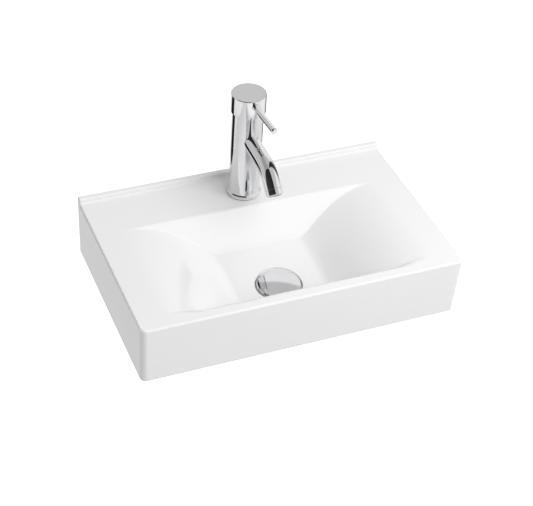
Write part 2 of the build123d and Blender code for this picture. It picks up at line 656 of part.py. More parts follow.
lever_drop = tan(radians(LEVER_RISE))
lever_seat_plane = reach_plane(LEVER_SEAT, LEVER_HEIGHT - (CAP_R - LEVER_SEAT) * lever_drop, LEVER_RISE)
lever_spigot_plane = reach_plane(
    LEVER_SPIGOT_START, LEVER_HEIGHT - (CAP_R - LEVER_SPIGOT_START) * lever_drop, LEVER_RISE)
lever_spigot_length = (LEVER_SEAT - LEVER_SPIGOT_START) / cos(radians(LEVER_RISE))
grub_plane = Plane(origin=(0, TAP_Y, RIM_Z + LEVER_HEIGHT), x_dir=(1, 0, 0), z_dir=(0, 1, 0))
with BuildPart() as handle_cap:
    with BuildSketch(TAP_LEVEL.offset(CAP_BOTTOM)):
        Circle(CAP_R)
    extrude(amount=CAP_TOP - CAP_BOTTOM)
    chamfer(handle_cap.edges().group_by(Axis.Z)[-1], CAP_CHAMFER)
    with BuildSketch(TAP_LEVEL.offset(CAP_BOTTOM)):
        Circle(CAP_BORE_R)
    extrude(amount=CAP_CEILING - CAP_BOTTOM, mode=Mode.SUBTRACT)
    with BuildSketch(TAP_LEVEL.offset(CAP_CEILING)):
        Rectangle(STEM_SIDE + STEM_CLEARANCE, STEM_SIDE + STEM_CLEARANCE)
    extrude(amount=STEM_TOP - CAP_CEILING, mode=Mode.SUBTRACT)
    with BuildSketch(lever_spigot_plane):
        Circle(LEVER_SPIGOT_R)
    extrude(amount=lever_spigot_length, mode=Mode.SUBTRACT)
    with BuildSketch(lever_seat_plane):
        Circle(LEVER_R)
    extrude(amount=LEVER_R, mode=Mode.SUBTRACT)
    with BuildSketch(grub_plane.offset(GRUB_START)):
        Circle(GRUB_R)
    extrude(amount=CAP_R, mode=Mode.SUBTRACT)

with BuildPart() as lever_pin:
    with BuildSketch(lever_seat_plane):
        Circle(LEVER_R)
    extrude(amount=(LEVER_TIP - LEVER_SEAT) / cos(radians(LEVER_RISE)))
    fillet(lever_pin.edges().sort_by(Axis.Y)[0], LEVER_TIP_ROUND)
    with BuildSketch(lever_spigot_plane):
        Circle(LEVER_SPIGOT_R)
    extrude(amount=lever_spigot_length)

with BuildPart() as lever_grub_screw:
    with BuildSketch(grub_plane.offset(GRUB_START)):
        Circle(GRUB_R)
    extrude(amount=GRUB_LENGTH)
    with BuildSketch(grub_plane.offset(GRUB_START + GRUB_LENGTH)):
        RegularPolygon(GRUB_KEY_FLATS / 2, 6, major_radius=False)
    extrude(amount=-GRUB_SOCKET, mode=Mode.SUBTRACT)

# Tap fixing under the deck: stud, rubber and steel horseshoes, nut
with BuildPart() as tap_stud:
    with BuildSketch(TAP_LEVEL.offset(STUD_BOTTOM)):
        with Locations((0, -STUD_FORWARD)):
            Circle(STUD_R)
    extrude(amount=BASE_GASKET + STUD_DEPTH - STUD_BOTTOM)
    chamfer(tap_stud.edges().group_by(Axis.Z)[0], STUD_CHAMFER)


def horseshoe(top, thickness):
    """A washer under the deck, cut away at the back where the supply pipes pass."""
    with BuildPart() as shoe:
        with BuildSketch(TAP_LEVEL.offset(top)):
            Circle(SHOE_R)
            with Locations((0, SHOE_R / 2)):
                Rectangle(SHOE_GAP, SHOE_R + 2 * OVERRUN, mode=Mode.SUBTRACT)
            with Locations((0, -STUD_FORWARD)):
                Circle(SHOE_HOLE_R, mode=Mode.SUBTRACT)
        extrude(amount=-thickness)
    return shoe


tap_rubber_shoe = horseshoe(-DECK_THICKNESS, RUBBER_SHOE)
tap_steel_shoe = horseshoe(-DECK_THICKNESS - RUBBER_SHOE, STEEL_SHOE)
with BuildPart() as tap_nut:
    with BuildSketch(TAP_LEVEL.offset(-DECK_THICKNESS - RUBBER_SHOE - STEEL_SHOE)):
        with Locations((0, -STUD_FORWARD)):
            RegularPolygon(STUD_NUT_FLATS / 2, 6, major_radius=False)
            Circle(STUD_R, mode=Mode.SUBTRACT)
    extrude(amount=-STUD_NUT_HEIGHT)

# Waste body: dished flange, a tube grooved between the backnut's thread and the trap's,
# and a three-armed spider that carries the mechanism
with BuildPart() as waste_body:
    with BuildSketch(WASTE_RADIUS):
        with BuildLine():
            dish_z = FLANGE_Z + WASTE_FLANGE
            edge_r = WASTE_FLANGE_R - WASTE_FLANGE_EDGE
            edge_z = dish_z - WASTE_FLANGE_EDGE
            groove_r = WASTE_TUBE_R - WASTE_GROOVE_DEPTH
            groove_bottom = WASTE_GROOVE_Z - WASTE_GROOVE_WIDTH
            Polyline((WASTE_TUBE_R, FLANGE_Z), (WASTE_FLANGE_R, FLANGE_Z), (WASTE_FLANGE_R, edge_z),
                     (edge_r, dish_z), (DISH_R, dish_z), (DISH_THROAT_R, dish_z - DISH_DEPTH),
                     (WASTE_BORE_R, dish_z - THROAT_DEPTH), (WASTE_BORE_R, WASTE_BOTTOM_Z),
                     (WASTE_TUBE_R - WASTE_END_CHAMFER, WASTE_BOTTOM_Z),
                     (WASTE_TUBE_R, WASTE_BOTTOM_Z + WASTE_END_CHAMFER), (WASTE_TUBE_R, groove_bottom),
                     (groove_r, groove_bottom), (groove_r, WASTE_GROOVE_Z), (WASTE_TUBE_R, WASTE_GROOVE_Z),
                     close=True)
        make_face()
    revolve(axis=WASTE_AXIS)
    with BuildSketch(WASTE_LEVEL.offset(SPIDER_Z)):
        Circle(SPIDER_RING_R)
        with PolarLocations(0.5 * WASTE_BORE_R, 3):
            Rectangle(WASTE_BORE_R + OVERRUN, SPIDER_ARM)
        Circle(BARREL_R, mode=Mode.SUBTRACT)
    extrude(amount=-SPIDER_HEIGHT)

with BuildPart() as waste_top_gasket:
    with BuildSketch(WASTE_LEVEL.offset(SEAT_Z)):
        Circle(WASTE_FLANGE_R - GASKET_INSET)
        Circle(DRAIN_HOLE_R, mode=Mode.SUBTRACT)
    extrude(amount=WASTE_GASKET)

# Push mechanism: closed barrel in the spider, spring, and the spindle that lifts the plug
with BuildPart() as click_barrel:
    with BuildSketch(WASTE_LEVEL.offset(BARREL_BOTTOM_Z)):
        Circle(BARREL_R)
    extrude(amount=BARREL_TOP_Z - BARREL_BOTTOM_Z)
    with BuildSketch(WASTE_LEVEL.offset(SPIDER_Z)):
        Circle(SPIDER_RING_R)
    extrude(amount=BARREL_COLLAR)
    with BuildSketch(WASTE_LEVEL.offset(BARREL_BOTTOM_Z + BARREL_END)):
        Circle(BARREL_BORE_R)
    extrude(amount=BARREL_TOP_Z - BARREL_BOTTOM_Z - 2 * BARREL_END, mode=Mode.SUBTRACT)
    with BuildSketch(WASTE_LEVEL.offset(BARREL_TOP_Z)):
        Circle(SPINDLE_BORE_R)
    extrude(amount=-BARREL_END, mode=Mode.SUBTRACT)

# The spring is wound of half turns, each level across and leaning along, that meet end to end
spring_floor = BARREL_BOTTOM_Z + BARREL_END + SPRING_WIRE_R
spring_height = SPINDLE_COLLAR_Z - SPRING_WIRE_R - spring_floor - SPRING_GAP
half_rise = spring_height / (2 * SPRING_TURNS)
spring_lean = atan(half_rise / 2 / SPRING_R)
with BuildPart() as click_spring:
    for half_turn in range(2 * SPRING_TURNS):
        side = 1 if half_turn % 2 == 0 else -1
        start = (side * SPRING_R, DRAIN_Y, spring_floor + half_turn * half_rise)
        middle = (0, DRAIN_Y, spring_floor + (half_turn + 0.5) * half_rise)
        with BuildSketch(Plane(origin=start, x_dir=(0, 0, 1), z_dir=(0, side, 0))):
            Circle(SPRING_WIRE_R)
        revolve(axis=Axis(middle, (side * sin(spring_lean), 0, cos(spring_lean))), revolution_arc=180)

plug_under = FLANGE_Z + WASTE_FLANGE + PLUG_GAP
plug_edge_top = plug_under + PLUG_EDGE
with BuildPart() as plug_spindle:
    with BuildSketch(WASTE_LEVEL.offset(SPINDLE_COLLAR_Z)):
        Circle(SPINDLE_COLLAR_R)
    extrude(amount=SPINDLE_COLLAR)
    with BuildSketch(WASTE_LEVEL.offset(SPINDLE_COLLAR_Z)):
        Circle(SPINDLE_R)
    extrude(amount=plug_under - SPINDLE_SEAT - SPINDLE_COLLAR_Z)

# Plug: a polished cap, slightly crowned, with a threaded hub and a rubber seal under it
with BuildPart() as plug_cap:
    with BuildSketch(WASTE_RADIUS):
        with BuildLine():
            crown = (0, plug_edge_top + PLUG_CROWN)
            crown_edge = (PLUG_R - PLUG_ROUND, plug_edge_top)
            Polyline(crown_edge, (PLUG_R, plug_edge_top - PLUG_ROUND), (PLUG_R, plug_under + PLUG_CHAMFER),
                     (PLUG_R - PLUG_CHAMFER, plug_under), (HUB_R, plug_under),
                     (HUB_R, plug_under - HUB_DEPTH), (SPINDLE_R, plug_under - HUB_DEPTH),
                     (SPINDLE_R, plug_under - SPINDLE_SEAT), (0, plug_under - SPINDLE_SEAT), crown)
            TangentArc(crown, crown_edge, tangent=(1, 0))
        make_face()
    revolve(axis=WASTE_AXIS)

with BuildPart() as plug_seal:
    with BuildSketch(WASTE_RADIUS):
        with BuildLine():
            seal_bottom = plug_under - SEAL_DEPTH
            Polyline((SEAL_OUTER_R, plug_under), (SEAL_OUTER_R, plug_under - SEAL_LIP),
                     (SEAL_INNER_R + SEAL_DEPTH, seal_bottom), (SEAL_INNER_R, seal_bottom),
                     (SEAL_INNER_R, plug_under), close=True)
        make_face()
    revolve(axis=WASTE_AXIS)

# Under the basin: tapered rubber washer, slip washer and backnut
with BuildPart() as waste_cone_washer:
    with BuildSketch(WASTE_RADIUS):
        with BuildLine():
            cone_bottom = DRAIN_BOSS_Z - CONE_WASHER
            cone_top = cone_bottom + CONE_WASHER + CONE_HEIGHT
            Polyline((WASTE_TUBE_R, cone_bottom), (CONE_WASHER_R, cone_bottom),
                     (CONE_WASHER_R, DRAIN_BOSS_Z), (DRAIN_HOLE_R - FIT_GAP, DRAIN_BOSS_Z),
                     (DRAIN_HOLE_R - CONE_TAPER, cone_top), (WASTE_TUBE_R, cone_top), close=True)
        make_face()
    revolve(axis=WASTE_AXIS)

with BuildPart() as waste_slip_washer:
    with BuildSketch(WASTE_LEVEL.offset(DRAIN_BOSS_Z - CONE_WASHER)):
        Circle(SLIP_WASHER_R)
        Circle(WASTE_TUBE_R, mode=Mode.SUBTRACT)
    extrude(amount=-SLIP_WASHER)

with BuildPart() as waste_backnut:
    with BuildSketch(WASTE_LEVEL.offset(DRAIN_BOSS_Z - CONE_WASHER - SLIP_WASHER)):
        RegularPolygon(BACKNUT_FLATS / 2, 6, major_radius=False)
        Circle(WASTE_TUBE_R, mode=Mode.SUBTRACT)
    extrude(amount=-BACKNUT_HEIGHT)

# Wall fixings, one of each at both holes, seen from inside the casting
with BuildPart() as wall_bushes:
    with BuildSketch(Plane.XZ):
        with GridLocations(FIXING_SPACING, 1, 2, 1):
            Circle(FIXING_HOLE_R - FIT_GAP)
            Circle(BUSH_BORE_R, mode=Mode.SUBTRACT)
    extrude(amount=SKIRT_WALL)
    with BuildSketch(Plane.XZ.offset(SKIRT_WALL)):
        with GridLocations(FIXING_SPACING, 1, 2, 1):
            Circle(BUSH_FLANGE_R)
            Circle(BUSH_BORE_R, mode=Mode.SUBTRACT)
    extrude(amount=BUSH_FLANGE)

with BuildPart() as wall_washers:
    with BuildSketch(Plane.XZ.offset(SKIRT_WALL + BUSH_FLANGE)):
        with GridLocations(FIXING_SPACING, 1, 2, 1):
            Circle(WASHER_R)
            Circle(WASHER_BORE_R, mode=Mode.SUBTRACT)
    extrude(amount=WASHER_THICKNESS)

with BuildPart() as wall_nuts:
    with BuildSketch(Plane.XZ.offset(SKIRT_WALL + BUSH_FLANGE + WASHER_THICKNESS)):
        with GridLocations(FIXING_SPACING, 1, 2, 1):
            RegularPolygon(NUT_FLATS / 2, 6, major_radius=False)
            Circle(NUT_BORE_R, mode=Mode.SUBTRACT)
    extrude(amount=NUT_HEIGHT)

pieces = {
    "basin_back_wall": basin_back_wall,
    "basin_front_wall": basin_front_wall,
    "basin_left_wall": basin_left_wall,
    "basin_right_wall": basin_right_wall,
    "basin_deck": basin_deck,
    "basin_slope_left": basin_slope_left,
    "basin_slope_right": basin_slope_right,
    "basin_facet": basin_facet,
    "basin_floor": basin_floor,
    "basin_bowl_front": basin_bowl_front,
    "tap_body": tap_body,
    "tap_base_gasket": tap_base_gasket,
    "tap_spout": tap_spout,
    "aerator_housing": aerator_housing,
    "aerator_washer": aerator_washer,
    "aerator_insert": aerator_insert,
    "cartridge_base": cartridge_base,
    "cartridge_seals": cartridge_seals,
    "cartridge_housing": cartridge_housing,
    "cartridge_nut": cartridge_nut,
    "fixed_disc": fixed_disc,
    "moving_disc": moving_disc,
    "cartridge_rotor": cartridge_rotor,
    "stem_pivot_pin": stem_pivot_pin,
    "control_stem": control_stem,
    "dome_ring": dome_ring,
    "handle_cap": handle_cap,
    "lever_pin": lever_pin,
    "lever_grub_screw": lever_grub_screw,
    "tap_stud": tap_stud,
    "tap_rubber_shoe": tap_rubber_shoe,
    "tap_steel_shoe": tap_steel_shoe,
    "tap_nut": tap_nut,
    "waste_body": waste_body,
    "waste_top_gasket": waste_top_gasket,
    "click_barrel": click_barrel,
    "click_spring": click_spring,
    "plug_spindle": plug_spindle,
    "plug_cap": plug_cap,
    "plug_seal": plug_seal,
    "waste_cone_washer": waste_cone_washer,
    "waste_slip_washer": waste_slip_washer,
    "waste_backnut": waste_backnut,
    "wall_bushes": wall_bushes,
    "wall_washers": wall_washers,
    "wall_nuts": wall_nuts,
}

os.makedirs("parts", exist_ok=True)
for name, piece in pieces.items():
    piece.part.label = name
    export_step(piece.part, f"parts/{name}.step")
    print(name, "valid" if piece.part.is_valid else "INVALID", f"{piece.part.volume / 1000:.2f} cm3")
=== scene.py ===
"""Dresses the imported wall-hung basin, its mixer tap and its push-open waste, and sets up the studio.

Sizes in the classes are in millimetres, in the frame of the part: +X to the right, +Y into the wall,
+Z up, with the origin midway between the two wall fixing holes. Blender's own lengths are in metres.
"""
import logging
import math
from dataclasses import dataclass, field
from enum import Enum
from typing import Optional, Sequence, Tuple, Union

import bmesh
import bpy
import numpy as np
from mathutils import Matrix, Vector


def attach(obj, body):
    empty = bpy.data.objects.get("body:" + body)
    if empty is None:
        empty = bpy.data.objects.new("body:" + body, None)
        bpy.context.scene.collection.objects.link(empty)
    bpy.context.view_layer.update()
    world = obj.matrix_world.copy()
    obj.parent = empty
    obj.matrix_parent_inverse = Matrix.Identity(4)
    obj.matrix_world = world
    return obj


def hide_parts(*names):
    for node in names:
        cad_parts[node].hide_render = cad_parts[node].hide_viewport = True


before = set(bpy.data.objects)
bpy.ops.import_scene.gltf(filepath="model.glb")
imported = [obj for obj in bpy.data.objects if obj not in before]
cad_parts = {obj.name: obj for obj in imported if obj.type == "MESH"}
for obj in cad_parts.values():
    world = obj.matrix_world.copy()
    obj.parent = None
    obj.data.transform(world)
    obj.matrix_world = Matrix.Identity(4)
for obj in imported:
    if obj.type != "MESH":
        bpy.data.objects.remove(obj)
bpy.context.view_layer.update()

MM = 0.001
Colour = Tuple[float, float, float]
Place = Tuple[float, float, float]
log = logging.getLogger("basin")


class Body(Enum):
    """The moving bodies of the part, by their names in the frame."""

    BASIN = "basin"
    ROTOR = "rotor"
    LEVER = "lever"
    MIXING_DISC = "mixing_disc"
    PLUG = "plug"


class Slot(Enum):
    """The finish slots of the part's record."""

    GLAZE = "glaze"
    CHROME = "chrome"
    BRASS = "brass"
    STEEL = "steel"
    RUBBER = "rubber"
    CARTRIDGE_PLASTIC = "cartridge_plastic"
    DISC_CERAMIC = "disc_ceramic"
    WHITE_PLASTIC = "white_plastic"


class Join(Enum):
    """How one solid is worked with another."""

    CUT = "DIFFERENCE"
    WELD = "UNION"
    KEEP = "INTERSECT"


# Finishes


class Graph:
    """A material's node tree, with short calls that add and join its nodes."""

    def __init__(self, name: str) -> None:
        """Starts a material of one Principled shader that reads object coordinates.

        Args:
            name: The material's name.
        """
        self.material = bpy.data.materials.new(name)
        self.material.use_nodes = True
        self.tree = self.material.node_tree
        self.tree.nodes.clear()
        self.output = self.add("ShaderNodeOutputMaterial")
        self.shader = self.add("ShaderNodeBsdfPrincipled")
        self.join(self.shader, "BSDF", self.output, "Surface")
        self.place = self.add("ShaderNodeTexCoord")

    def add(self, kind: str, **settings: Union[str, bool, float]) -> bpy.types.Node:
        """Adds a node.

        Args:
            kind: The node's type name.
            **settings: Properties to set on it.

        Returns:
            The new node.
        """
        node = self.tree.nodes.new(kind)
        for key, value in settings.items():
            setattr(node, key, value)
        return node

    def join(self, source: bpy.types.Node, out: str, target: bpy.types.Node, into: Union[str, int]) -> None:
        """Links one node's output to another's input."""
        self.tree.links.new(source.outputs[out], target.inputs[into])

    def noise(self, scale: float, detail: float = 2.0, stretch: Place = (1, 1, 1)) -> bpy.types.Node:
        """Adds a noise pattern on object coordinates.

        Args:
            scale: Features to a metre.
            detail: Octaves of finer noise.
            stretch: Scale along each axis.

        Returns:
            The noise node.
        """
        mapping = self.add("ShaderNodeMapping")
        mapping.inputs["Scale"].default_value = stretch
        self.join(self.place, "Object", mapping, "Vector")
        noise = self.add("ShaderNodeTexNoise")
        noise.inputs["Scale"].default_value = scale
        noise.inputs["Detail"].default_value = detail
        self.join(mapping, "Vector", noise, "Vector")
        return noise

    def ramp(self, source: bpy.types.Node, out: str, low: Tuple[float, Colour], high: Tuple[float, Colour]
             ) -> bpy.types.Node:
        """Adds a two-stop colour ramp.

        Args:
            source: The node that it reads.
            out: The output that it reads.
            low: Place and colour of the first stop.
            high: Place and colour of the second stop.

        Returns:
            The ramp node.
        """
        ramp = self.add("ShaderNodeValToRGB")
        for stop, (place, colour) in zip(ramp.color_ramp.elements, (low, high)):
            stop.position = place
            stop.color = (*colour, 1.0)
        self.join(source, out, ramp, "Fac")
        return ramp

    def span(self, source: bpy.types.Node, out: str, low: float, high: float) -> bpy.types.Node:
        """Maps a 0 to 1 value onto a range.

        Args:
            source: The node that it reads.
            out: The output that it reads.
            low: The value at 0.
            high: The value at 1.

        Returns:
            The range node.
        """
        span = self.add("ShaderNodeMapRange")
        span.inputs["To Min"].default_value = low
        span.inputs["To Max"].default_value = high
        self.join(source, out, span, "Value")
        return span

    def bump(self, heights: Sequence[Tuple[bpy.types.Node, float]]) -> None:
        """Puts height patterns one over the other on the shader's normal.

        Args:
            heights: Pairs of a pattern node with a Fac output and its depth in millimetres.
        """
        below: Optional[bpy.types.Node] = None
        for pattern, depth in heights:
            bump = self.add("ShaderNodeBump")
            bump.inputs["Strength"].default_value = 1.0
            bump.inputs["Distance"].default_value = depth * MM
            self.join(pattern, "Fac", bump, "Height")
            if below is not None:
                self.join(below, "Normal", bump, "Normal")
            below = bump
        if below is not None:
            self.join(below, "Normal", self.shader, "Normal")


@dataclass(frozen=True)
class Glaze:
    """White sanitary glaze: deep gloss over a faintly rippled body."""

    colour: Colour = (0.880, 0.880, 0.878)
    pooled: Colour = (0.868, 0.869, 0.870)
    roughness: Tuple[float, float] = (0.05, 0.10)
    ripple: float = 0.003
    orange_peel: float = 0.0012

    def material(self) -> bpy.types.Material:
        """The glaze, with its clouding, ripple and orange peel."""
        graph = Graph("white_glaze")
        clouds = graph.noise(9.0, 3.0)
        tone = graph.ramp(clouds, "Fac", (0.35, self.pooled), (0.65, self.colour))
        graph.join(tone, "Color", graph.shader, "Base Color")
        wear = graph.noise(38.0, 4.0)
        gloss = graph.span(wear, "Fac", *self.roughness)
        graph.join(gloss, "Result", graph.shader, "Roughness")
        graph.shader.inputs["IOR"].default_value = 1.52
        graph.bump([(graph.noise(22.0, 1.0), self.ripple), (graph.noise(420.0, 2.0), self.orange_peel)])
        return graph.material


@dataclass(frozen=True)
class Bisque:
    """Unglazed fired clay where the kiln shelf and the mould's core touched the casting."""

    colour: Colour = (0.72, 0.68, 0.60)
    speck: Colour = (0.60, 0.55, 0.47)

    def material(self) -> bpy.types.Material:
        """The dry clay, sandy and speckled."""
        graph = Graph("bisque_clay")
        grain = graph.noise(900.0, 4.0)
        tone = graph.ramp(grain, "Fac", (0.38, self.speck), (0.52, self.colour))
        graph.join(tone, "Color", graph.shader, "Base Color")
        graph.join(graph.span(grain, "Fac", 0.78, 0.95), "Result", graph.shader, "Roughness")
        graph.bump([(graph.noise(70.0, 2.0), 0.15), (grain, 0.05)])
        return graph.material


@dataclass(frozen=True)
class Plate:
    """A metal surface: plated, turned or brushed."""

    name: str
    colour: Colour
    stain: Colour
    roughness: Tuple[float, float]
    grain: float
    depth: float
    stretch: Place = (1, 1, 1)

    def material(self) -> bpy.types.Material:
        """The metal, with faint stains and the marks of its making."""
        graph = Graph(self.name)
        clouds = graph.noise(26.0, 3.0)
        tone = graph.ramp(clouds, "Fac", (0.3, self.stain), (0.7, self.colour))
        graph.join(tone, "Color", graph.shader, "Base Color")
        graph.shader.inputs["Metallic"].default_value = 1.0
        marks = graph.noise(self.grain, 3.0, self.stretch)
        graph.join(graph.span(marks, "Fac", *self.roughness), "Result", graph.shader, "Roughness")
        graph.bump([(marks, self.depth)])
        return graph.material


@dataclass(frozen=True)
class Moulded:
    """Rubber, plastic or lapped ceramic: an even body with a fine moulded skin."""

    name: str
    colour: Colour
    dust: Colour
    roughness: Tuple[float, float]
    grain: float
    depth: float

    def material(self) -> bpy.types.Material:
        """The moulded surface, with its skin and a little dust."""
        graph = Graph(self.name)
        clouds = graph.noise(60.0, 4.0)
        tone = graph.ramp(clouds, "Fac", (0.4, self.colour), (0.75, self.dust))
        graph.join(tone, "Color", graph.shader, "Base Color")
        skin = graph.noise(self.grain, 2.0)
        graph.join(graph.span(skin, "Fac", *self.roughness), "Result", graph.shader, "Roughness")
        graph.bump([(skin, self.depth)])
        return graph.material


FINISHES = {
    Slot.GLAZE: Glaze(),
    Slot.CHROME: Plate("chrome_plate", (0.80, 0.80, 0.81), (0.765, 0.77, 0.785), (0.025, 0.06), 1400.0,
                       0.0004),
    Slot.BRASS: Plate("turned_brass", (0.76, 0.58, 0.30), (0.62, 0.44, 0.20), (0.22, 0.38), 1800.0, 0.004,
                      (0.15, 0.15, 1.0)),
    Slot.STEEL: Plate("zinc_steel", (0.66, 0.67, 0.68), (0.54, 0.55, 0.57), (0.24, 0.42), 1500.0, 0.004),
    Slot.RUBBER: Moulded("black_rubber", (0.022, 0.022, 0.023), (0.05, 0.05, 0.05), (0.55, 0.75), 2200.0,
                         0.01),
    Slot.CARTRIDGE_PLASTIC: Moulded("grey_plastic", (0.30, 0.31, 0.33), (0.36, 0.37, 0.39), (0.38, 0.55),
                                    1600.0, 0.006),
    Slot.DISC_CERAMIC: Moulded("lapped_ceramic", (0.78, 0.75, 0.67), (0.70, 0.67, 0.60), (0.12, 0.2), 2600.0,
                               0.001),
    Slot.WHITE_PLASTIC: Moulded("white_plastic", (0.74, 0.74, 0.72), (0.67, 0.67, 0.65), (0.30, 0.45), 1700.0,
                                0.004),
}


SATIN_CHROME = Plate("satin_chrome", (0.60, 0.60, 0.605), (0.575, 0.575, 0.58), (0.16, 0.24), 1500.0, 0.0008)


@dataclass
class Paints:
    """Every finish made once, shared by the pieces."""

    by_slot: dict = field(default_factory=dict)
    bisque: Optional[bpy.types.Material] = None
    satin: Optional[bpy.types.Material] = None

    def mix(self) -> "Paints":
        """Makes all the materials."""
        self.by_slot = {slot: finish.material() for slot, finish in FINISHES.items()}
        self.bisque = Bisque().material()
        self.satin = SATIN_CHROME.material()
        return self


# Bench work


@dataclass(frozen=True)
class Corner:
    """A corner of a turning profile: distance from the axis, height, and rounding."""

    out: float
    up: float
    rounding: float = 0.0


def turn_at(before: Corner, here: Corner, after: Corner) -> float:
    """How far a profile turns at a corner.

    Args:
        before: The corner before it.
        here: The corner.
        after: The corner after it.

    Returns:
        The change of direction, in radians.
    """
    first = Vector((here.out - before.out, here.up - before.up))
    second = Vector((after.out - here.out, after.up - here.up))
    return first.angle(second)


def draw_profile(corners: Sequence[Corner], closed: bool = False) -> bmesh.types.BMesh:
    """Draws a profile in the XZ plane and rounds its corners.

    Args:
        corners: The profile's corners in order.
        closed: Whether the last corner joins the first.

    Returns:
        A bmesh of edges, in metres.
    """
    bm = bmesh.new()
    verts = [bm.verts.new((corner.out * MM, 0.0, corner.up * MM)) for corner in corners]
    for first, second in zip(verts, verts[1:]):
        bm.edges.new((first, second))
    if closed:
        bm.edges.new((verts[-1], verts[0]))
    for index, (vert, corner) in enumerate(zip(verts, corners)):
        if corner.rounding:
            turn = turn_at(corners[index - 1], corner, corners[(index + 1) % len(corners)])
            bmesh.ops.bevel(bm, geom=[vert], offset=corner.rounding * MM * math.tan(turn / 2),
                            offset_type="OFFSET", segments=max(2, round(math.degrees(turn) / 11)),
                            profile=0.5, affect="VERTICES", clamp_overlap=False, material=-1)
    return bm


def turn_solid(bm: bmesh.types.BMesh, steps: int) -> bmesh.types.BMesh:
    """Turns a profile about the Z axis into a closed solid.

    Args:
        bm: The profile.
        steps: Faces round the axis.

    Returns:
        The same bmesh.
    """
    bmesh.ops.spin(bm, geom=bm.verts[:] + bm.edges[:], cent=(0, 0, 0), axis=(0, 0, 1), dvec=(0, 0, 0),
                   angle=math.tau, steps=steps, use_merge=True, use_normal_flip=False, use_duplicate=False)
    bmesh.ops.remove_doubles(bm, verts=bm.verts[:], dist=2e-6)
    bmesh.ops.recalc_face_normals(bm, faces=bm.faces[:])
    return bm


def turned(corners: Sequence[Corner], closed: bool = False, steps: int = 96) -> bmesh.types.BMesh:
    """Turns rounded corners about the Z axis into a closed solid."""
    return turn_solid(draw_profile(corners, closed), steps)


def placed(bm: bmesh.types.BMesh, at: Place, along: Place = (0, 0, 1)) -> bmesh.types.BMesh:
    """Puts a piece that stands on the Z axis in its place.

    Args:
        bm: The piece.
        at: Where its foot goes, in millimetres.
        along: The direction that its axis takes.

    Returns:
        The same bmesh.
    """
    turn = Vector((0, 0, 1)).rotation_difference(Vector(along)).to_matrix().to_4x4()
    bmesh.ops.transform(bm, matrix=Matrix.Translation(Vector(at) * MM) @ turn, verts=bm.verts[:])
    return bm


def drum(radius: float, low: float, high: float, steps: int = 64) -> bmesh.types.BMesh:
    """A plain round solid on the Z axis, between two heights."""
    return turned([Corner(0, low), Corner(radius, low), Corner(radius, high), Corner(0, high)], steps=steps)


def block(size: Place, centre: Place) -> bmesh.types.BMesh:
    """A plain box of a size about a centre."""
    bm = bmesh.new()
    bmesh.ops.create_cube(bm, size=MM)
    bmesh.ops.scale(bm, vec=size, verts=bm.verts[:])
    bmesh.ops.translate(bm, vec=Vector(centre) * MM, verts=bm.verts[:])
    return bm


def as_object(name: str, bm: bmesh.types.BMesh) -> bpy.types.Object:
    """Makes an object at the origin from a bmesh, and frees the bmesh."""
    mesh = bpy.data.meshes.new(name)
    bm.to_mesh(mesh)
    bm.free()
    piece = bpy.data.objects.new(name, mesh)
    bpy.context.scene.collection.objects.link(piece)
    return piece


def settle(piece: bpy.types.Object) -> None:
    """Makes a piece's modifiers part of its mesh."""
    bpy.context.view_layer.update()
    graph = bpy.context.evaluated_depsgraph_get()
    mesh = bpy.data.meshes.new_from_object(piece.evaluated_get(graph), depsgraph=graph)
    plain = piece.data
    piece.modifiers.clear()
    piece.data = mesh
    bpy.data.meshes.remove(plain)
    mesh.name = piece.name


def work(piece: bpy.types.Object, tool: bmesh.types.BMesh, how: Join) -> None:
    """Cuts, welds or trims a piece with a solid.

    Args:
        piece: The piece to work on.
        tool: The solid that it is worked with.
        how: What is done.
    """
    other = as_object("tool", tool)
    modifier = piece.modifiers.new("work", "BOOLEAN")
    modifier.operation = how.value
    modifier.solver = "MANIFOLD"
    modifier.object = other
    settle(piece)
    bpy.data.objects.remove(other)
    if not piece.data.polygons:
        raise RuntimeError(f"{piece.name} has no faces left after {how.name}")


def finished(piece: bpy.types.Object, body: Body, slot: Slot, paints: Paints, stands_for: Sequence[str],
             crease: float = 32.0) -> bpy.types.Object:
    """Shades a piece, dresses it, and joins it to the body that carries it.

    Args:
        piece: The piece, its shape done.
        body: The body that it moves with.
        slot: The finish that it takes.
        paints: The finishes.
        stands_for: The CAD nodes that it is shown for.
        crease: The angle in degrees past which an edge stays sharp.

    Returns:
        The piece.
    """
    mesh = piece.data
    if not any(mesh.materials):
        mesh.materials.clear()
        mesh.materials.append(paints.by_slot[slot])
    mesh.shade_smooth()
    mesh.set_sharp_from_angle(angle=math.radians(crease))
    weigh = piece.modifiers.new("even_normals", "WEIGHTED_NORMAL")
    weigh.keep_sharp = True
    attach(piece, body.value)
    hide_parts(*stands_for)
    log.info("%s: %d faces on %s", piece.name, len(mesh.polygons), body.value)
    return piece


def cut_thread(bm: bmesh.types.BMesh, radius: float, pitch: float, depth: float, low: float, high: float
               ) -> None:
    """Sinks a helical groove into a round wall about the Z axis.

    Args:
        bm: The turned piece, its wall in rows at most a quarter of the pitch high.
        radius: The wall's radius.
        pitch: The thread's pitch.
        depth: The groove's depth.
        low: Where the thread starts.
        high: Where it ends.
    """
    for vert in bm.verts:
        across = math.hypot(vert.co.x, vert.co.y) / MM
        height = vert.co.z / MM
        if abs(across - radius) > 0.01 or not low < height < high:
            continue
        phase = height / pitch - math.atan2(vert.co.y, vert.co.x) / math.tau
        wave = 0.5 - 0.5 * math.cos(math.tau * phase)
        fade = min(1.0, (height - low) / pitch, (high - height) / pitch)
        factor = 1.0 - depth * wave * fade / across
        vert.co.x *= factor
        vert.co.y *= factor


# The casting


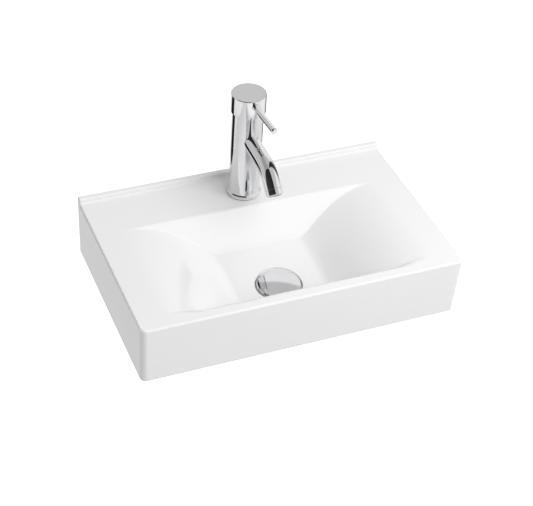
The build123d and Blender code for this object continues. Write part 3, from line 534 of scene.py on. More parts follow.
@dataclass
class Casting:
    """The glazed basin: a drafted box with an upstand, a sculpted bowl and a hollow underneath."""

    half_width: float = 240.0
    depth: float = 300.0
    rim: float = 55.0
    underside: float = -41.0
    side_draft: float = 1.4
    front_draft: float = 4.0
    corner: float = 9.0
    rim_round: float = 3.0
    foot_round: float = 2.0
    upstand_height: float = 8.0
    upstand_thick: float = 8.5
    upstand_cove: float = 3.5
    upstand_round: float = 3.05
    wall: float = 12.0
    shell: float = 11.0
    deck: float = 12.0
    hollow_corner: float = 6.0
    trough_half: float = 201.0
    floor_half: float = 64.0
    side_swell: float = 2.0
    side_fade: float = 4.1
    facet_top: float = -87.0
    facet_slope: float = 62.0
    facet_edge: float = 4.0
    facet_foot: float = 3.0
    front_top: float = -279.0
    front_slope: float = 78.0
    front_edge: float = 9.0
    front_foot: float = 9.0
    depths: Tuple[Tuple[float, float], ...] = ((-50.0, 43.0), (-199.0, 62.0), (-298.0, 60.5))
    bowl_half: float = 207.0
    bowl_back: float = -78.0
    bowl_front: float = -291.0
    columns: int = 250
    rows: int = 230
    hollow_columns: int = 132
    hollow_rows: int = 84
    hollow_front: float = 15.5
    slack: float = 0.5
    shell_least: float = 3.0
    tap_y: float = -50.0
    tap_hole: float = 17.5
    drain_y: float = -199.0
    drain_hole: float = 23.0
    drain_seat: float = 34.5
    seat_floor: float = -12.0
    boss: float = 38.0
    boss_low: float = -33.0
    boss_high: float = -16.0
    fixing_x: float = 140.0
    fixing_hole: float = 8.0

    def trough(self, x: np.ndarray, y: np.ndarray) -> Tuple[np.ndarray, np.ndarray]:
        """The trough with the S-shaped sides, before the facet and the front wall close it.

        Args:
            x: Places across.
            y: Places front to back.

        Returns:
            Its heights, and its unit normals.
        """
        run = self.trough_half - self.floor_half
        t = np.clip((np.abs(x) - self.floor_half) / run, 0.0, 1.0)
        bulge = self.side_swell * np.exp(-self.side_fade * t)
        share = (1 - t) ** 2 * (1 + t * bulge)
        slope_t = -2 * (1 - t) * (1 + t * bulge) + (1 - t) ** 2 * bulge * (1 - self.side_fade * t)
        fit = np.polyfit([at for at, _ in self.depths], [deep for _, deep in self.depths], 2)
        deep = np.polyval(fit, y)
        slope_x = -deep * slope_t / run * np.sign(x)
        slope_y = -np.polyval(np.polyder(fit), y) * share
        normal = np.stack([-slope_x, -slope_y, np.ones_like(x)])
        return self.rim - deep * share, normal / np.linalg.norm(normal, axis=0)

    @staticmethod
    def meet(first: np.ndarray, second: np.ndarray, n_first: np.ndarray, n_second: np.ndarray,
             radius: Union[float, np.ndarray]) -> Tuple[np.ndarray, np.ndarray]:
        """Two surfaces' common space with a rounded meeting line.

        Args:
            first: Distance inside the first surface.
            second: Distance inside the second surface.
            n_first: The first surface's unit normal.
            n_second: The second surface's unit normal.
            radius: The radius of the rounding.

        Returns:
            The distance inside both, and its unit normal.
        """
        reach = radius * (1 - np.sum(n_first * n_second, axis=0)) + 1e-6
        a = np.maximum(reach - first, 0)
        b = np.maximum(reach - second, 0)
        both = (a > 0) & (b > 0)
        inside = np.where(both, reach - np.hypot(a, b), np.minimum(first, second))
        normal = np.where(both, a * n_first + b * n_second, np.where(first < second, n_first, n_second))
        return inside, normal / np.linalg.norm(normal, axis=0)

    def bowl_height(self, x: np.ndarray, y: np.ndarray) -> np.ndarray:
        """The height of the deck and the bowl, with every edge rolled and every foot rounded.

        Args:
            x: Places across.
            y: Places front to back.

        Returns:
            Heights in millimetres.
        """
        floor, n_trough = self.trough(x, y)
        tilt = math.radians(self.facet_slope)
        steep = math.radians(self.front_slope)
        one = np.ones_like(x)
        n_facet = np.stack([0 * one, -math.sin(tilt) * one, math.cos(tilt) * one])
        n_front = np.stack([0 * one, math.sin(steep) * one, math.cos(steep) * one])
        n_deck = np.stack([0 * one, 0 * one, one])
        low = np.full_like(x, self.rim - 80)
        high = np.full_like(x, self.rim + 1)
        for _ in range(34):
            z = 0.5 * (low + high)
            to_trough = (z - floor) * n_trough[2]
            to_facet = (y - self.facet_top) * -math.sin(tilt) + (z - self.rim) * math.cos(tilt)
            to_front = (y - self.front_top) * math.sin(steep) + (z - self.rim) * math.cos(steep)
            back, n_back = self.meet(to_facet, to_trough, n_facet, n_trough, self.facet_foot)
            fore, n_fore = self.meet(to_front, to_trough, n_front, n_trough, self.front_foot)
            void = np.minimum(back, fore)
            n_void = np.where(back < fore, n_back, n_fore)
            edge = np.where(back < fore, self.facet_edge, self.front_edge)
            clay, _ = self.meet(self.rim - z, -void, n_deck, n_void, edge)
            low = np.where(clay > 0, z, low)
            high = np.where(clay > 0, high, z)
        height = 0.5 * (low + high)
        return np.where(height > self.rim - 2e-3, self.rim, height)

    def spread(self, along: np.ndarray, height: np.ndarray, count: int) -> np.ndarray:
        """Places grid lines evenly along a section's surface.

        Args:
            along: Fine places along the section.
            height: The section's heights there.
            count: How many lines.

        Returns:
            The lines' places.
        """
        step = np.hypot(np.diff(along), np.diff(height))
        bend = np.abs(np.diff(np.arctan2(np.diff(height), np.diff(along))))
        step[1:] += 6.0 * bend
        travelled = np.concatenate([[0], np.cumsum(step)])
        return np.interp(np.linspace(0, travelled[-1], count + 1), travelled, along)

    def bowl_patch(self, bm: bmesh.types.BMesh) -> None:
        """Adds the bowl with the deck round it as a fine grid, laid on its heights.

        Args:
            bm: The casting's bmesh.
        """
        fine_x = np.linspace(0, self.bowl_half, 3000)
        drain = np.full_like(fine_x, self.drain_y)
        half = self.spread(fine_x, self.bowl_height(fine_x, drain), self.columns // 2)
        places_x = np.concatenate([-half[::-1], half[1:]])
        fine_y = np.linspace(self.bowl_front, self.bowl_back, 4000)
        middle = self.bowl_height(np.zeros_like(fine_y), fine_y)
        places_y = self.spread(fine_y, middle, self.rows)
        heights = self.bowl_height(*[part.ravel() for part in np.meshgrid(places_x, places_y)])
        heights = heights.reshape(len(places_y), len(places_x))
        grid = bmesh.ops.create_grid(bm, x_segments=len(places_x) - 1, y_segments=len(places_y) - 1, size=1.0)
        for vert in grid["verts"]:
            column = round((vert.co.x + 1) / 2 * (len(places_x) - 1))
            row = round((vert.co.y + 1) / 2 * (len(places_y) - 1))
            vert.co = Vector((places_x[column], places_y[row], heights[row, column])) * MM

    def outer_box(self) -> bmesh.types.BMesh:
        """The drafted box with its upstand, its corners, rim and foot rounded.

        Returns:
            A closed bmesh.
        """
        bm = draw_profile([Corner(0, self.underside), Corner(-self.depth + self.front_draft, self.underside),
                           Corner(-self.depth, self.rim),
                           Corner(-self.upstand_thick, self.rim, self.upstand_cove),
                           Corner(-self.upstand_thick, self.rim + self.upstand_height, self.upstand_round),
                           Corner(0, self.rim + self.upstand_height)], closed=True)
        bmesh.ops.rotate(bm, cent=(0, 0, 0), matrix=Matrix.Rotation(math.pi / 2, 3, "Z"), verts=bm.verts[:])
        bmesh.ops.translate(bm, vec=(-self.half_width * MM, 0, 0), verts=bm.verts[:])
        bmesh.ops.contextual_create(bm, geom=bm.edges[:])
        slab = bmesh.ops.extrude_face_region(bm, geom=bm.faces[:])
        moved = [item for item in slab["geom"] if isinstance(item, bmesh.types.BMVert)]
        bmesh.ops.translate(bm, vec=(2 * self.half_width * MM, 0, 0), verts=moved)
        rise = self.rim - self.underside
        for vert in bm.verts:
            below = max(0.0, self.rim - vert.co.z / MM) / rise
            vert.co.x -= math.copysign(self.side_draft * below * MM, vert.co.x)
        bmesh.ops.recalc_face_normals(bm, faces=bm.faces[:])
        front = -(self.depth - self.front_draft - 1) * MM
        self.soften(bm, [edge for edge in bm.edges if all(vert.co.y < front for vert in edge.verts)
                         and abs(edge.verts[0].co.z - edge.verts[1].co.z) > 0.5 * rise * MM], self.corner, 10)
        self.soften(bm, [edge for edge in bm.edges if self.on_rim(edge)], self.rim_round, 6)
        self.soften(bm, [edge for edge in bm.edges
                         if all(vert.co.z < (self.underside + 0.1) * MM for vert in edge.verts)
                         and not all(vert.co.y > -0.1 * MM for vert in edge.verts)
                         and any(abs(face.normal.z) < 0.5 for face in edge.link_faces)], self.foot_round, 3)
        return bm

    @staticmethod
    def soften(bm: bmesh.types.BMesh, edges: Sequence[bmesh.types.BMEdge], radius: float, segments: int
               ) -> None:
        """Rounds edges to a radius."""
        bmesh.ops.bevel(bm, geom=list(edges), offset=radius * MM, offset_type="OFFSET", segments=segments,
                        profile=0.5, affect="EDGES", clamp_overlap=True, material=-1)

    def on_rim(self, edge: bmesh.types.BMEdge) -> bool:
        """Whether an edge runs along the rim, over the upstand's ends, or round the front."""
        if min(vert.co.z for vert in edge.verts) < (self.rim - 0.1) * MM:
            return False
        if all(vert.co.y > -0.1 * MM for vert in edge.verts):
            return False
        outward = [face for face in edge.link_faces if abs(face.normal.z) < 0.3 and
                   (abs(face.normal.x) > 0.3 or face.calc_center_median().y < -0.9 * self.depth * MM)]
        return len(outward) == 1

    def solid(self) -> bmesh.types.BMesh:
        """The box with the bowl let into its deck.

        Returns:
            A closed bmesh.
        """
        bm = self.outer_box()
        deck = max((face for face in bm.faces if face.normal.z > 0.99), key=lambda face: face.calc_area())
        around = list(deck.edges)
        bmesh.ops.delete(bm, geom=[deck], context="FACES_ONLY")
        self.bowl_patch(bm)
        open_edges = [edge for edge in bm.edges if edge.is_boundary]
        bmesh.ops.triangle_fill(bm, use_beauty=True, use_dissolve=False, edges=open_edges)
        bmesh.ops.recalc_face_normals(bm, faces=bm.faces[:])
        log.info("casting: %d edges round the deck, %d left open", len(around),
                 sum(1 for edge in bm.edges if not edge.is_manifold))
        return bm

    def hollow(self) -> bmesh.types.BMesh:
        """The space under the casting, up to the deck and the bowl's shell.

        Returns:
            A closed bmesh that runs on below the underside.
        """
        side = self.half_width - self.side_draft - self.wall
        front = self.depth - self.front_draft - self.wall
        bm = bmesh.new()
        grid = bmesh.ops.create_grid(bm, x_segments=self.hollow_columns, y_segments=self.hollow_rows,
                                     size=1.0)
        x = np.array([vert.co.x for vert in grid["verts"]]) * (side + 4)
        y = np.array([vert.co.y for vert in grid["verts"]]) * (front - self.wall + 8) / 2
        y -= (front + self.wall) / 2
        floor, _ = self.trough(x, y)
        tilt = math.radians(self.facet_slope)
        behind = self.facet_top + self.shell / math.sin(tilt)
        facet = self.rim - (behind - y) * math.tan(tilt)
        ceiling = np.minimum(self.rim - self.deck, np.maximum(floor - self.shell, facet))
        for vert, place in zip(grid["verts"], zip(x, y, ceiling)):
            vert.co = Vector(place) * MM
        base = bmesh.ops.extrude_face_region(bm, geom=bm.faces[:])
        for item in base["geom"]:
            if isinstance(item, bmesh.types.BMVert):
                item.co.z = (self.underside - 12) * MM
        bmesh.ops.recalc_face_normals(bm, faces=bm.faces[:])
        return bm

    def hollow_outline(self) -> bmesh.types.BMesh:
        """The hollow's upright walls, with rounded corners."""
        side = 2 * (self.half_width - self.side_draft - self.wall)
        front = self.depth - self.front_draft - self.wall
        bm = block((side, front - self.wall, 150.0), (0, -(front + self.wall) / 2, self.underside + 74))
        upright = [edge for edge in bm.edges if abs(edge.verts[0].co.z - edge.verts[1].co.z) > MM]
        self.soften(bm, upright, self.hollow_corner, 6)
        return bm

    def build(self, paints: Paints) -> bpy.types.Object:
        """Models the casting and glazes it, with bare clay inside and under its foot."""
        piece = as_object("glazed_basin", self.solid())
        core = as_object("core", self.hollow())
        work(core, self.hollow_outline(), Join.KEEP)
        space = bmesh.new()
        space.from_mesh(core.data)
        bpy.data.objects.remove(core)
        work(piece, space, Join.CUT)
        boss = drum(self.boss, self.boss_low, self.boss_high, 72)
        work(piece, placed(boss, (0, self.drain_y, 0)), Join.WELD)
        seat = [Corner(0, 6), Corner(37.2, 6), Corner(35.9, -6.4), Corner(self.drain_seat, -8.0, 1.6),
                Corner(self.drain_seat, self.seat_floor), Corner(self.drain_hole, self.seat_floor, 0.6),
                Corner(self.drain_hole, -50), Corner(0, -50)]
        work(piece, placed(turned(seat), (0, self.drain_y, 0)), Join.CUT)
        work(piece, placed(drum(self.tap_hole, 30, 60), (0, self.tap_y, 0)), Join.CUT)
        for side in (-1, 1):
            hole = placed(drum(self.fixing_hole, -5, 20), (side * self.fixing_x, 0, 0), (0, -1, 0))
            work(piece, hole, Join.CUT)
        mesh = piece.data
        mesh.materials.clear()
        mesh.materials.append(paints.by_slot[Slot.GLAZE])
        mesh.materials.append(paints.bisque)
        mesh.polygons.foreach_set("material_index", self.bare_faces(mesh))
        sections = [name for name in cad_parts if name.startswith("basin_")]
        return finished(piece, Body.BASIN, Slot.GLAZE, paints, sections, 38.0)

    def bare_faces(self, mesh: bpy.types.Mesh) -> np.ndarray:
        """Finds the faces that the kiln left without glaze: the wall side, the foot and the hollow.

        Args:
            mesh: The casting's mesh.

        Returns:
            For each face, 1 where it is bare and 0 where it is glazed.
        """
        centres = np.empty(3 * len(mesh.polygons), dtype=np.float32)
        normals = np.empty_like(centres)
        mesh.polygons.foreach_get("center", centres)
        mesh.polygons.foreach_get("normal", normals)
        x, y, z = centres.astype(float).reshape(-1, 3).T / MM
        upward = normals.reshape(-1, 3)[:, 2]
        inside = np.abs(x) < self.half_width - self.wall
        inside &= (y > -self.depth + self.hollow_front) & (y < -self.wall + self.slack)
        under = inside & (upward < 0.2) & (z < self.rim - self.deck + self.slack)
        buried = z < self.bowl_height(x, y) - self.shell_least
        return ((y > -0.1) | (upward < -0.9) | (under & buried)).astype(np.int32)


# The tap


@dataclass
class Tap:
    """The single-lever mixer tap on the deck."""

    y: float = -50.0
    deck: float = 55.0
    foot: float = 1.0
    flange: float = 25.3
    column: float = 23.2
    column_top: float = 144.0
    chamber: float = 17.8
    chamber_floor: float = 112.0
    cap: float = 25.6
    cap_bottom: float = 144.5
    cap_top: float = 173.0
    cap_bore: float = 24.1
    cap_ceiling: float = 160.0
    stem: float = 7.7
    stem_top: float = 168.0
    lever: float = 4.5
    lever_rise: float = 4.5
    lever_height: float = 164.4
    lever_seat: float = 24.6
    lever_tip: float = 97.0
    spout: float = 12.25
    spout_wall: float = 4.25
    spout_height: float = 102.5
    spout_fall: float = 3.5
    spout_root: float = 19.0
    spout_straight: float = 65.5
    bend_radius: float = 58.0
    bend: float = 39.5
    spout_end: float = 7.0
    aerator: float = 9.0
    aerator_bore: float = 10.2
    dome: float = 25.2
    dome_wall: float = 2.0
    dome_opening: float = 17.0
    dome_foot: float = 17.9
    dome_foot_height: float = 1.8
    pivot: float = 134.0
    inlet: float = 5.0
    inlet_x: float = 8.5
    inlet_back: float = 4.0
    stud: float = 4.0
    stud_forward: float = 11.0
    socket_top: float = 13.0
    screw: float = 2.5

    def at(self, reach: float, height: float) -> Place:
        """A point in front of the tap's axis, at a height over the deck."""
        return (0.0, self.y - reach, self.deck + height)

    @staticmethod
    def heading(rise: float) -> Place:
        """The forward direction that rises by an angle in degrees."""
        return (0.0, -math.cos(math.radians(rise)), math.sin(math.radians(rise)))

    def lever_at(self, reach: float) -> Place:
        """A point on the lever's axis at a reach."""
        rise = (reach - self.cap) * math.tan(math.radians(self.lever_rise))
        return self.at(reach, self.lever_height + rise)

    def build_body(self, paints: Paints) -> bpy.types.Object:
        """The flange and column, turned in one, with the sockets under it."""
        corners = [Corner(0, self.foot), Corner(self.flange, self.foot, 0.5), Corner(self.flange, 6.7, 2.2),
                   Corner(24.0, 7.7, 1.6), Corner(self.column, 17.0, 60.0),
                   Corner(self.column, self.column_top, 0.3),
                   Corner(self.chamber, self.column_top), Corner(self.chamber, self.chamber_floor),
                   Corner(0, self.chamber_floor)]
        piece = as_object("tap_column", placed(turned(corners, steps=144), self.at(0, 0)))
        for side in (-1, 1):
            inlet = drum(self.inlet, -3, self.socket_top, 40)
            work(piece, placed(inlet, (side * self.inlet_x, self.y + self.inlet_back, self.deck)), Join.CUT)
        socket = drum(self.stud, -3, self.socket_top, 40)
        work(piece, placed(socket, (0, self.y - self.stud_forward, self.deck)), Join.CUT)
        return finished(piece, Body.BASIN, Slot.CHROME, paints, ["tap_body"])

    def build_cap(self, paints: Paints) -> bpy.types.Object:
        """The cap, with its socket for the stem and the holes for the lever and its screw."""
        corners = [Corner(0, self.cap_top), Corner(self.cap - 0.7, self.cap_top, 0.4),
                   Corner(self.cap, self.cap_top - 0.7, 0.4), Corner(self.cap, self.cap_bottom, 0.35),
                   Corner(self.cap_bore, self.cap_bottom, 0.2), Corner(self.cap_bore, self.cap_ceiling),
                   Corner(0, self.cap_ceiling)]
        piece = as_object("lever_cap", placed(turned(corners, steps=144), self.at(0, 0)))
        depth = self.stem_top - self.cap_ceiling
        socket = block((self.stem, self.stem, depth + 2), self.at(0, self.cap_ceiling + depth / 2 - 1))
        work(piece, socket, Join.CUT)
        hole = placed(drum(self.lever + 0.22, -2.2, 6), self.lever_at(self.lever_seat + 1),
                      self.heading(self.lever_rise))
        work(piece, hole, Join.CUT)
        spigot = placed(drum(3.0, 0, 17, 40), self.lever_at(9.0), self.heading(self.lever_rise))
        work(piece, spigot, Join.CUT)
        work(piece, placed(drum(self.screw, 3.9, 30, 40), self.at(0, self.lever_height), (0, 1, 0)), Join.CUT)
        mesh = piece.data
        mesh.materials.clear()
        mesh.materials.append(paints.by_slot[Slot.CHROME])
        mesh.materials.append(paints.satin)
        for face in mesh.polygons:
            face.material_index = int(face.center.z > (self.deck + self.cap_top - 0.05) * MM)
        return finished(piece, Body.LEVER, Slot.CHROME, paints, ["handle_cap"])

    def build_lever(self, paints: Paints) -> bpy.types.Object:
        """The round lever with its soft tip, and the spigot that plugs into the cap."""
        length = (self.lever_tip - self.lever_seat) / math.cos(math.radians(self.lever_rise))
        corners = [Corner(0, -15.6), Corner(3.0, -15.6), Corner(3.0, 0), Corner(self.lever, 0, 0.2),
                   Corner(self.lever, length, 2.4), Corner(0, length)]
        piece = as_object("lever_rod", placed(turned(corners, steps=64), self.lever_at(self.lever_seat),
                                              self.heading(self.lever_rise)))
        return finished(piece, Body.LEVER, Slot.CHROME, paints, ["lever_pin"])

    def spout_route(self) -> Tuple[Vector, Vector, Vector, Vector]:
        """Where the spout's bend starts, turns about and ends, and where the tube ends."""
        fall = math.radians(-self.spout_fall)
        low = math.radians(-self.spout_fall - self.bend)
        start = Vector((self.spout_straight, self.spout_height + self.spout_straight * math.tan(fall)))
        centre = start + Vector((math.sin(fall), -math.cos(fall))) * self.bend_radius
        end = centre + Vector((-math.sin(low), math.cos(low))) * self.bend_radius
        outlet = end + Vector((math.cos(low), math.sin(low))) * self.spout_end
        return start, centre, end, outlet

    def build_spout(self, paints: Paints) -> bpy.types.Object:
        """The spout: one tube, straight, bent down and cut square."""
        start, centre, end, outlet = self.spout_route()
        root = self.spout_root
        height = self.spout_height - root * math.tan(math.radians(self.spout_fall))
        bm = bmesh.new()
        bmesh.ops.create_circle(bm, cap_ends=False, radius=self.spout * MM, segments=80)
        placed(bm, self.at(root, height), self.heading(-self.spout_fall))
        ring = bm.edges[:]
        ring = self.carry(bm, ring, Vector(self.at(*start)) - Vector(self.at(root, height)))
        corners = list({vert for edge in ring for vert in edge.verts})
        bent = bmesh.ops.spin(bm, geom=ring + corners,
                              cent=Vector(self.at(*centre)) * MM, axis=(1, 0, 0), dvec=(0, 0, 0),
                              angle=math.radians(self.bend), steps=40, use_merge=False, use_normal_flip=False,
                              use_duplicate=False)
        ring = [item for item in bent["geom_last"] if isinstance(item, bmesh.types.BMEdge)]
        self.carry(bm, ring, Vector(self.at(*outlet)) - Vector(self.at(*end)))
        bmesh.ops.remove_doubles(bm, verts=bm.verts[:], dist=2e-6)
        bmesh.ops.recalc_face_normals(bm, faces=bm.faces[:])
        piece = as_object("spout_tube", bm)
        thick = piece.modifiers.new("wall", "SOLIDIFY")
        thick.thickness = self.spout_wall * MM
        thick.offset = -1.0
        settle(piece)
        return finished(piece, Body.BASIN, Slot.CHROME, paints, ["tap_spout"])

    @staticmethod
    def carry(bm: bmesh.types.BMesh, ring: Sequence[bmesh.types.BMEdge], step: Vector) -> list:
        """Draws a tube's open ring on by a step.

        Args:
            bm: The tube.
            ring: The ring's edges.
            step: How far it goes, in millimetres.

        Returns:
            The new ring's edges.
        """
        drawn = bmesh.ops.extrude_edge_only(bm, edges=list(ring))["geom"]
        verts = [item for item in drawn if isinstance(item, bmesh.types.BMVert)]
        bmesh.ops.translate(bm, vec=step * MM, verts=verts)
        return [item for item in drawn if isinstance(item, bmesh.types.BMEdge)
                and all(vert in set(verts) for vert in item.verts)]

    def build_aerator(self, paints: Paints) -> bpy.types.Object:
        """The ring on the spout's end, with a fine shadow gap where it screws on."""
        outlet = self.spout_route()[3]
        corners = [Corner(self.aerator_bore, 0), Corner(self.spout - 0.45, 0, 0.1),
                   Corner(self.spout, 0.4, 0.3), Corner(self.spout, self.aerator, 0.6),
                   Corner(self.aerator_bore, self.aerator, 0.4)]
        ring = placed(turned(corners, closed=True), self.at(*outlet),
                      self.heading(-self.spout_fall - self.bend))
        piece = as_object("aerator_ring", ring)
        return finished(piece, Body.BASIN, Slot.CHROME, paints, ["aerator_housing"])

    def build_dome(self, paints: Paints) -> bpy.types.Object:
        """The domed ring between column and cap, round the lever's pivot."""
        bm = bmesh.new()
        low = math.acos((self.column_top - self.pivot) / self.dome)
        high = math.asin(self.dome_opening / self.dome)
        inner = self.dome - self.dome_wall
        inner_low = math.acos((self.column_top + self.dome_foot_height - self.pivot) / inner)
        inner_high = math.asin(self.dome_opening / inner)
        outside = self.swept(bm, self.dome, low, high)
        inside = self.swept(bm, inner, inner_high, inner_low)
        feet = [bm.verts.new((self.dome_foot * MM, 0, (self.column_top + up) * MM))
                for up in (self.dome_foot_height, 0.0)]
        for first, second in ((outside[1], inside[0]), (inside[1], feet[0]), (feet[0], feet[1]),
                              (feet[1], outside[0])):
            bm.edges.new((first, second))
        piece = as_object("dome_skirt", placed(turn_solid(bm, 128), self.at(0, 0)))
        return finished(piece, Body.BASIN, Slot.CHROME, paints, ["dome_ring"])

    def swept(self, bm: bmesh.types.BMesh, radius: float, start: float, stop: float) -> tuple:
        """Draws an arc of the dome's profile.

        Args:
            bm: The profile.
            radius: The arc's radius.
            start: Its first angle from the Z axis, in radians.
            stop: Its last angle.

        Returns:
            Its first and last vertices.
        """
        here = Vector((radius * math.sin(start), 0, self.pivot + radius * math.cos(start))) * MM
        first = bm.verts.new(here)
        drawn = bmesh.ops.spin(bm, geom=[first], cent=(0, 0, self.pivot * MM), axis=(0, 1, 0),
                               dvec=(0, 0, 0), angle=stop - start, steps=14, use_merge=False,
                               use_normal_flip=False, use_duplicate=False)
        last = [item for item in drawn["geom_last"] if isinstance(item, bmesh.types.BMVert)][0]
        return first, last

    def build(self, paints: Paints) -> None:
        """Builds every piece of the tap that shows."""
        self.build_body(paints)
        self.build_dome(paints)
        self.build_cap(paints)
        self.build_lever(paints)
        self.build_spout(paints)
        self.build_aerator(paints)


# The waste


@dataclass
class Waste:
    """The push-open waste: polished plug, flanged and threaded body."""

    y: float = -199.0
    tube: float = 20.95
    bore: float = 18.4
    bottom: float = -76.0
    flange: float = 32.5
    flange_bottom: float = -10.5
    flange_top: float = -7.0
    plug: float = 32.0
    plug_under: float = -6.7
    plug_edge: float = 2.4
    crown: float = 2.2
    hub: float = 6.5
    hub_bore: float = 3.0
    hub_length: float = 7.3
    thread_pitch: float = 2.309
    thread_depth: float = 1.1
    thread_top: float = -27.0
    groove_top: float = -47.9
    groove_bottom: float = -49.6
    groove_depth: float = 0.8
    spider_top: float = -32.0
    spider_bottom: float = -36.0
    ring_out: float = 11.0
    ring_in: float = 8.0
    arms: int = 3
    arm_width: float = 3.0
    arm_length: float = 9.2

    def build_plug(self, paints: Paints) -> bpy.types.Object:
        """The plug's polished cap, slightly crowned, with its threaded hub below."""
        edge = self.plug_under + self.plug_edge
        run = self.plug - 0.9
        radius = (run ** 2 + self.crown ** 2) / (2 * self.crown)
        bm = draw_profile([Corner(run, edge), Corner(self.plug, edge - 0.9, 0.5),
                           Corner(self.plug, self.plug_under + 0.5, 0.3),
                           Corner(self.plug - 0.5, self.plug_under), Corner(self.hub, self.plug_under),
                           Corner(self.hub, self.plug_under - self.hub_length),
                           Corner(self.hub_bore, self.plug_under - self.hub_length),
                           Corner(self.hub_bore, self.plug_under - 1.0), Corner(0, self.plug_under - 1.0)])
        top = bm.verts.new((0, 0, (edge + self.crown) * MM))
        bmesh.ops.spin(bm, geom=[top], cent=(0, 0, (edge + self.crown - radius) * MM), axis=(0, 1, 0),
                       dvec=(0, 0, 0), angle=math.asin(run / radius), steps=16, use_merge=False,
                       use_normal_flip=False, use_duplicate=False)
        bmesh.ops.remove_doubles(bm, verts=bm.verts[:], dist=4e-6)
        piece = as_object("plug_lid", placed(turn_solid(bm, 144), (0, self.y, 0)))
        return finished(piece, Body.PLUG, Slot.CHROME, paints, ["plug_cap"])

    def build_body(self, paints: Paints) -> bpy.types.Object:
        """The flanged tube with its thread, its groove and the spider across its bore."""
        top = self.flange_top
        corners = [Corner(self.tube, self.flange_bottom), Corner(self.flange, self.flange_bottom, 0.3),
                   Corner(self.flange, top, 0.7), Corner(30.0, top, 0.5), Corner(21.5, top - 2.2, 1.5),
                   Corner(self.bore, top - 5.3, 1.0), Corner(self.bore, self.bottom, 0.3),
                   Corner(self.tube - 0.8, self.bottom), Corner(self.tube, self.bottom + 0.8)]
        bm = draw_profile(corners, closed=False)
        low = self.bottom + 0.8
        rows = round((self.flange_bottom - low) / (self.thread_pitch / 8))
        ends = sorted((vert for vert in bm.verts if abs(vert.co.x - self.tube * MM) < 1e-6),
                      key=lambda vert: vert.co.z)
        side = bm.edges.new((ends[0], ends[-1]))
        bmesh.ops.subdivide_edges(bm, edges=[side], cuts=rows - 1)
        turn_solid(bm, 96)
        for lower, upper in ((self.bottom + 1.0, self.groove_bottom), (self.groove_top, self.thread_top)):
            cut_thread(bm, self.tube, self.thread_pitch, self.thread_depth, lower, upper)
        sunk = 1 - self.groove_depth / self.tube
        for vert in bm.verts:
            in_groove = self.groove_bottom + 0.05 < vert.co.z / MM < self.groove_top - 0.05
            if in_groove and math.hypot(vert.co.x, vert.co.y) > (self.tube - 0.1) * MM:
                vert.co.x *= sunk
                vert.co.y *= sunk
        piece = as_object("waste_tube", placed(bm, (0, self.y, 0)))
        ring = [Corner(self.ring_in, self.spider_bottom), Corner(self.ring_out, self.spider_bottom, 0.4),
                Corner(self.ring_out, self.spider_top, 0.4), Corner(self.ring_in, self.spider_top)]
        spider = turned(ring, closed=True, steps=64)
        hub = as_object("hub", spider)
        thick = self.spider_top - self.spider_bottom
        for turn in range(self.arms):
            arm = block((self.arm_length, self.arm_width, thick), (14.4, 0, self.spider_bottom + thick / 2))
            bmesh.ops.rotate(arm, cent=(0, 0, 0), matrix=Matrix.Rotation(math.tau * turn / self.arms, 3, "Z"),
                             verts=arm.verts[:])
            work(hub, arm, Join.WELD)
        whole = bmesh.new()
        whole.from_mesh(hub.data)
        bpy.data.objects.remove(hub)
        work(piece, placed(whole, (0, self.y, 0)), Join.WELD)
        return finished(piece, Body.BASIN, Slot.CHROME, paints, ["waste_body"], 40.0)

    def build(self, paints: Paints) -> None:
        """Builds the waste's pieces that show."""
        self.build_plug(paints)
        self.build_body(paints)


# Fastenings


@dataclass
class HexNut:
    """A hexagon nut with its corners chamfered at both ends."""

    name: str
    flats: float
    height: float
    bore: float
    slot: Slot
    node: str
    places: Tuple[Place, ...]
    along: Place

    def build(self, paints: Paints) -> bpy.types.Object:
        """Models the nut at each of its places, as one piece."""
        whole = bmesh.new()
        for place in self.places:
            bm = bmesh.new()
            bmesh.ops.create_cone(bm, cap_ends=True, segments=6, radius1=self.flats / math.sqrt(3) * MM,
                                  radius2=self.flats / math.sqrt(3) * MM, depth=self.height * MM)
            bmesh.ops.translate(bm, vec=(0, 0, self.height / 2 * MM), verts=bm.verts[:])
            nut = as_object("nut", bm)
            half = self.flats / 2
            top = 0.07 * self.flats
            barrel = [Corner(0, 0), Corner(half * 0.96, 0), Corner(half * 1.17, top * 0.6),
                      Corner(half * 1.17, self.height - top * 0.6), Corner(half * 0.96, self.height),
                      Corner(0, self.height)]
            work(nut, turned(barrel, steps=72), Join.KEEP)
            work(nut, drum(self.bore, -2, self.height + 2), Join.CUT)
            one = bmesh.new()
            one.from_mesh(nut.data)
            placed(one, place, self.along)
            spare = bpy.data.meshes.new("spare")
            one.to_mesh(spare)
            one.free()
            whole.from_mesh(spare)
            bpy.data.meshes.remove(spare)
            bpy.data.objects.remove(nut)
        piece = as_object(self.name, whole)
        return finished(piece, Body.BASIN, self.slot, paints, [self.node], 20.0)


@dataclass
class Stud:
    """The threaded stud that draws the tap down on the deck."""

    radius: float = 4.0
    pitch: float = 1.25
    bottom: float = -42.0
    top: float = 13.0
    place: Place = (0.0, -61.0, 55.0)

    def build(self, paints: Paints) -> bpy.types.Object:
        """Models the stud with its helical thread."""
        bm = draw_profile([Corner(0, self.bottom), Corner(self.radius - 0.6, self.bottom),
                           Corner(self.radius, self.bottom + 0.6), Corner(self.radius, self.top),
                           Corner(0, self.top)])
        wall = [edge for edge in bm.edges if edge.calc_length() > 20 * MM]
        bmesh.ops.subdivide_edges(bm, edges=wall, cuts=round((self.top - self.bottom) / self.pitch * 6))
        turn_solid(bm, 36)
        cut_thread(bm, self.radius, self.pitch, 0.62, self.bottom + 0.7, 0.6)
        piece = as_object("fixing_stud", placed(bm, self.place))
        return finished(piece, Body.BASIN, Slot.STEEL, paints, ["tap_stud"], 50.0)


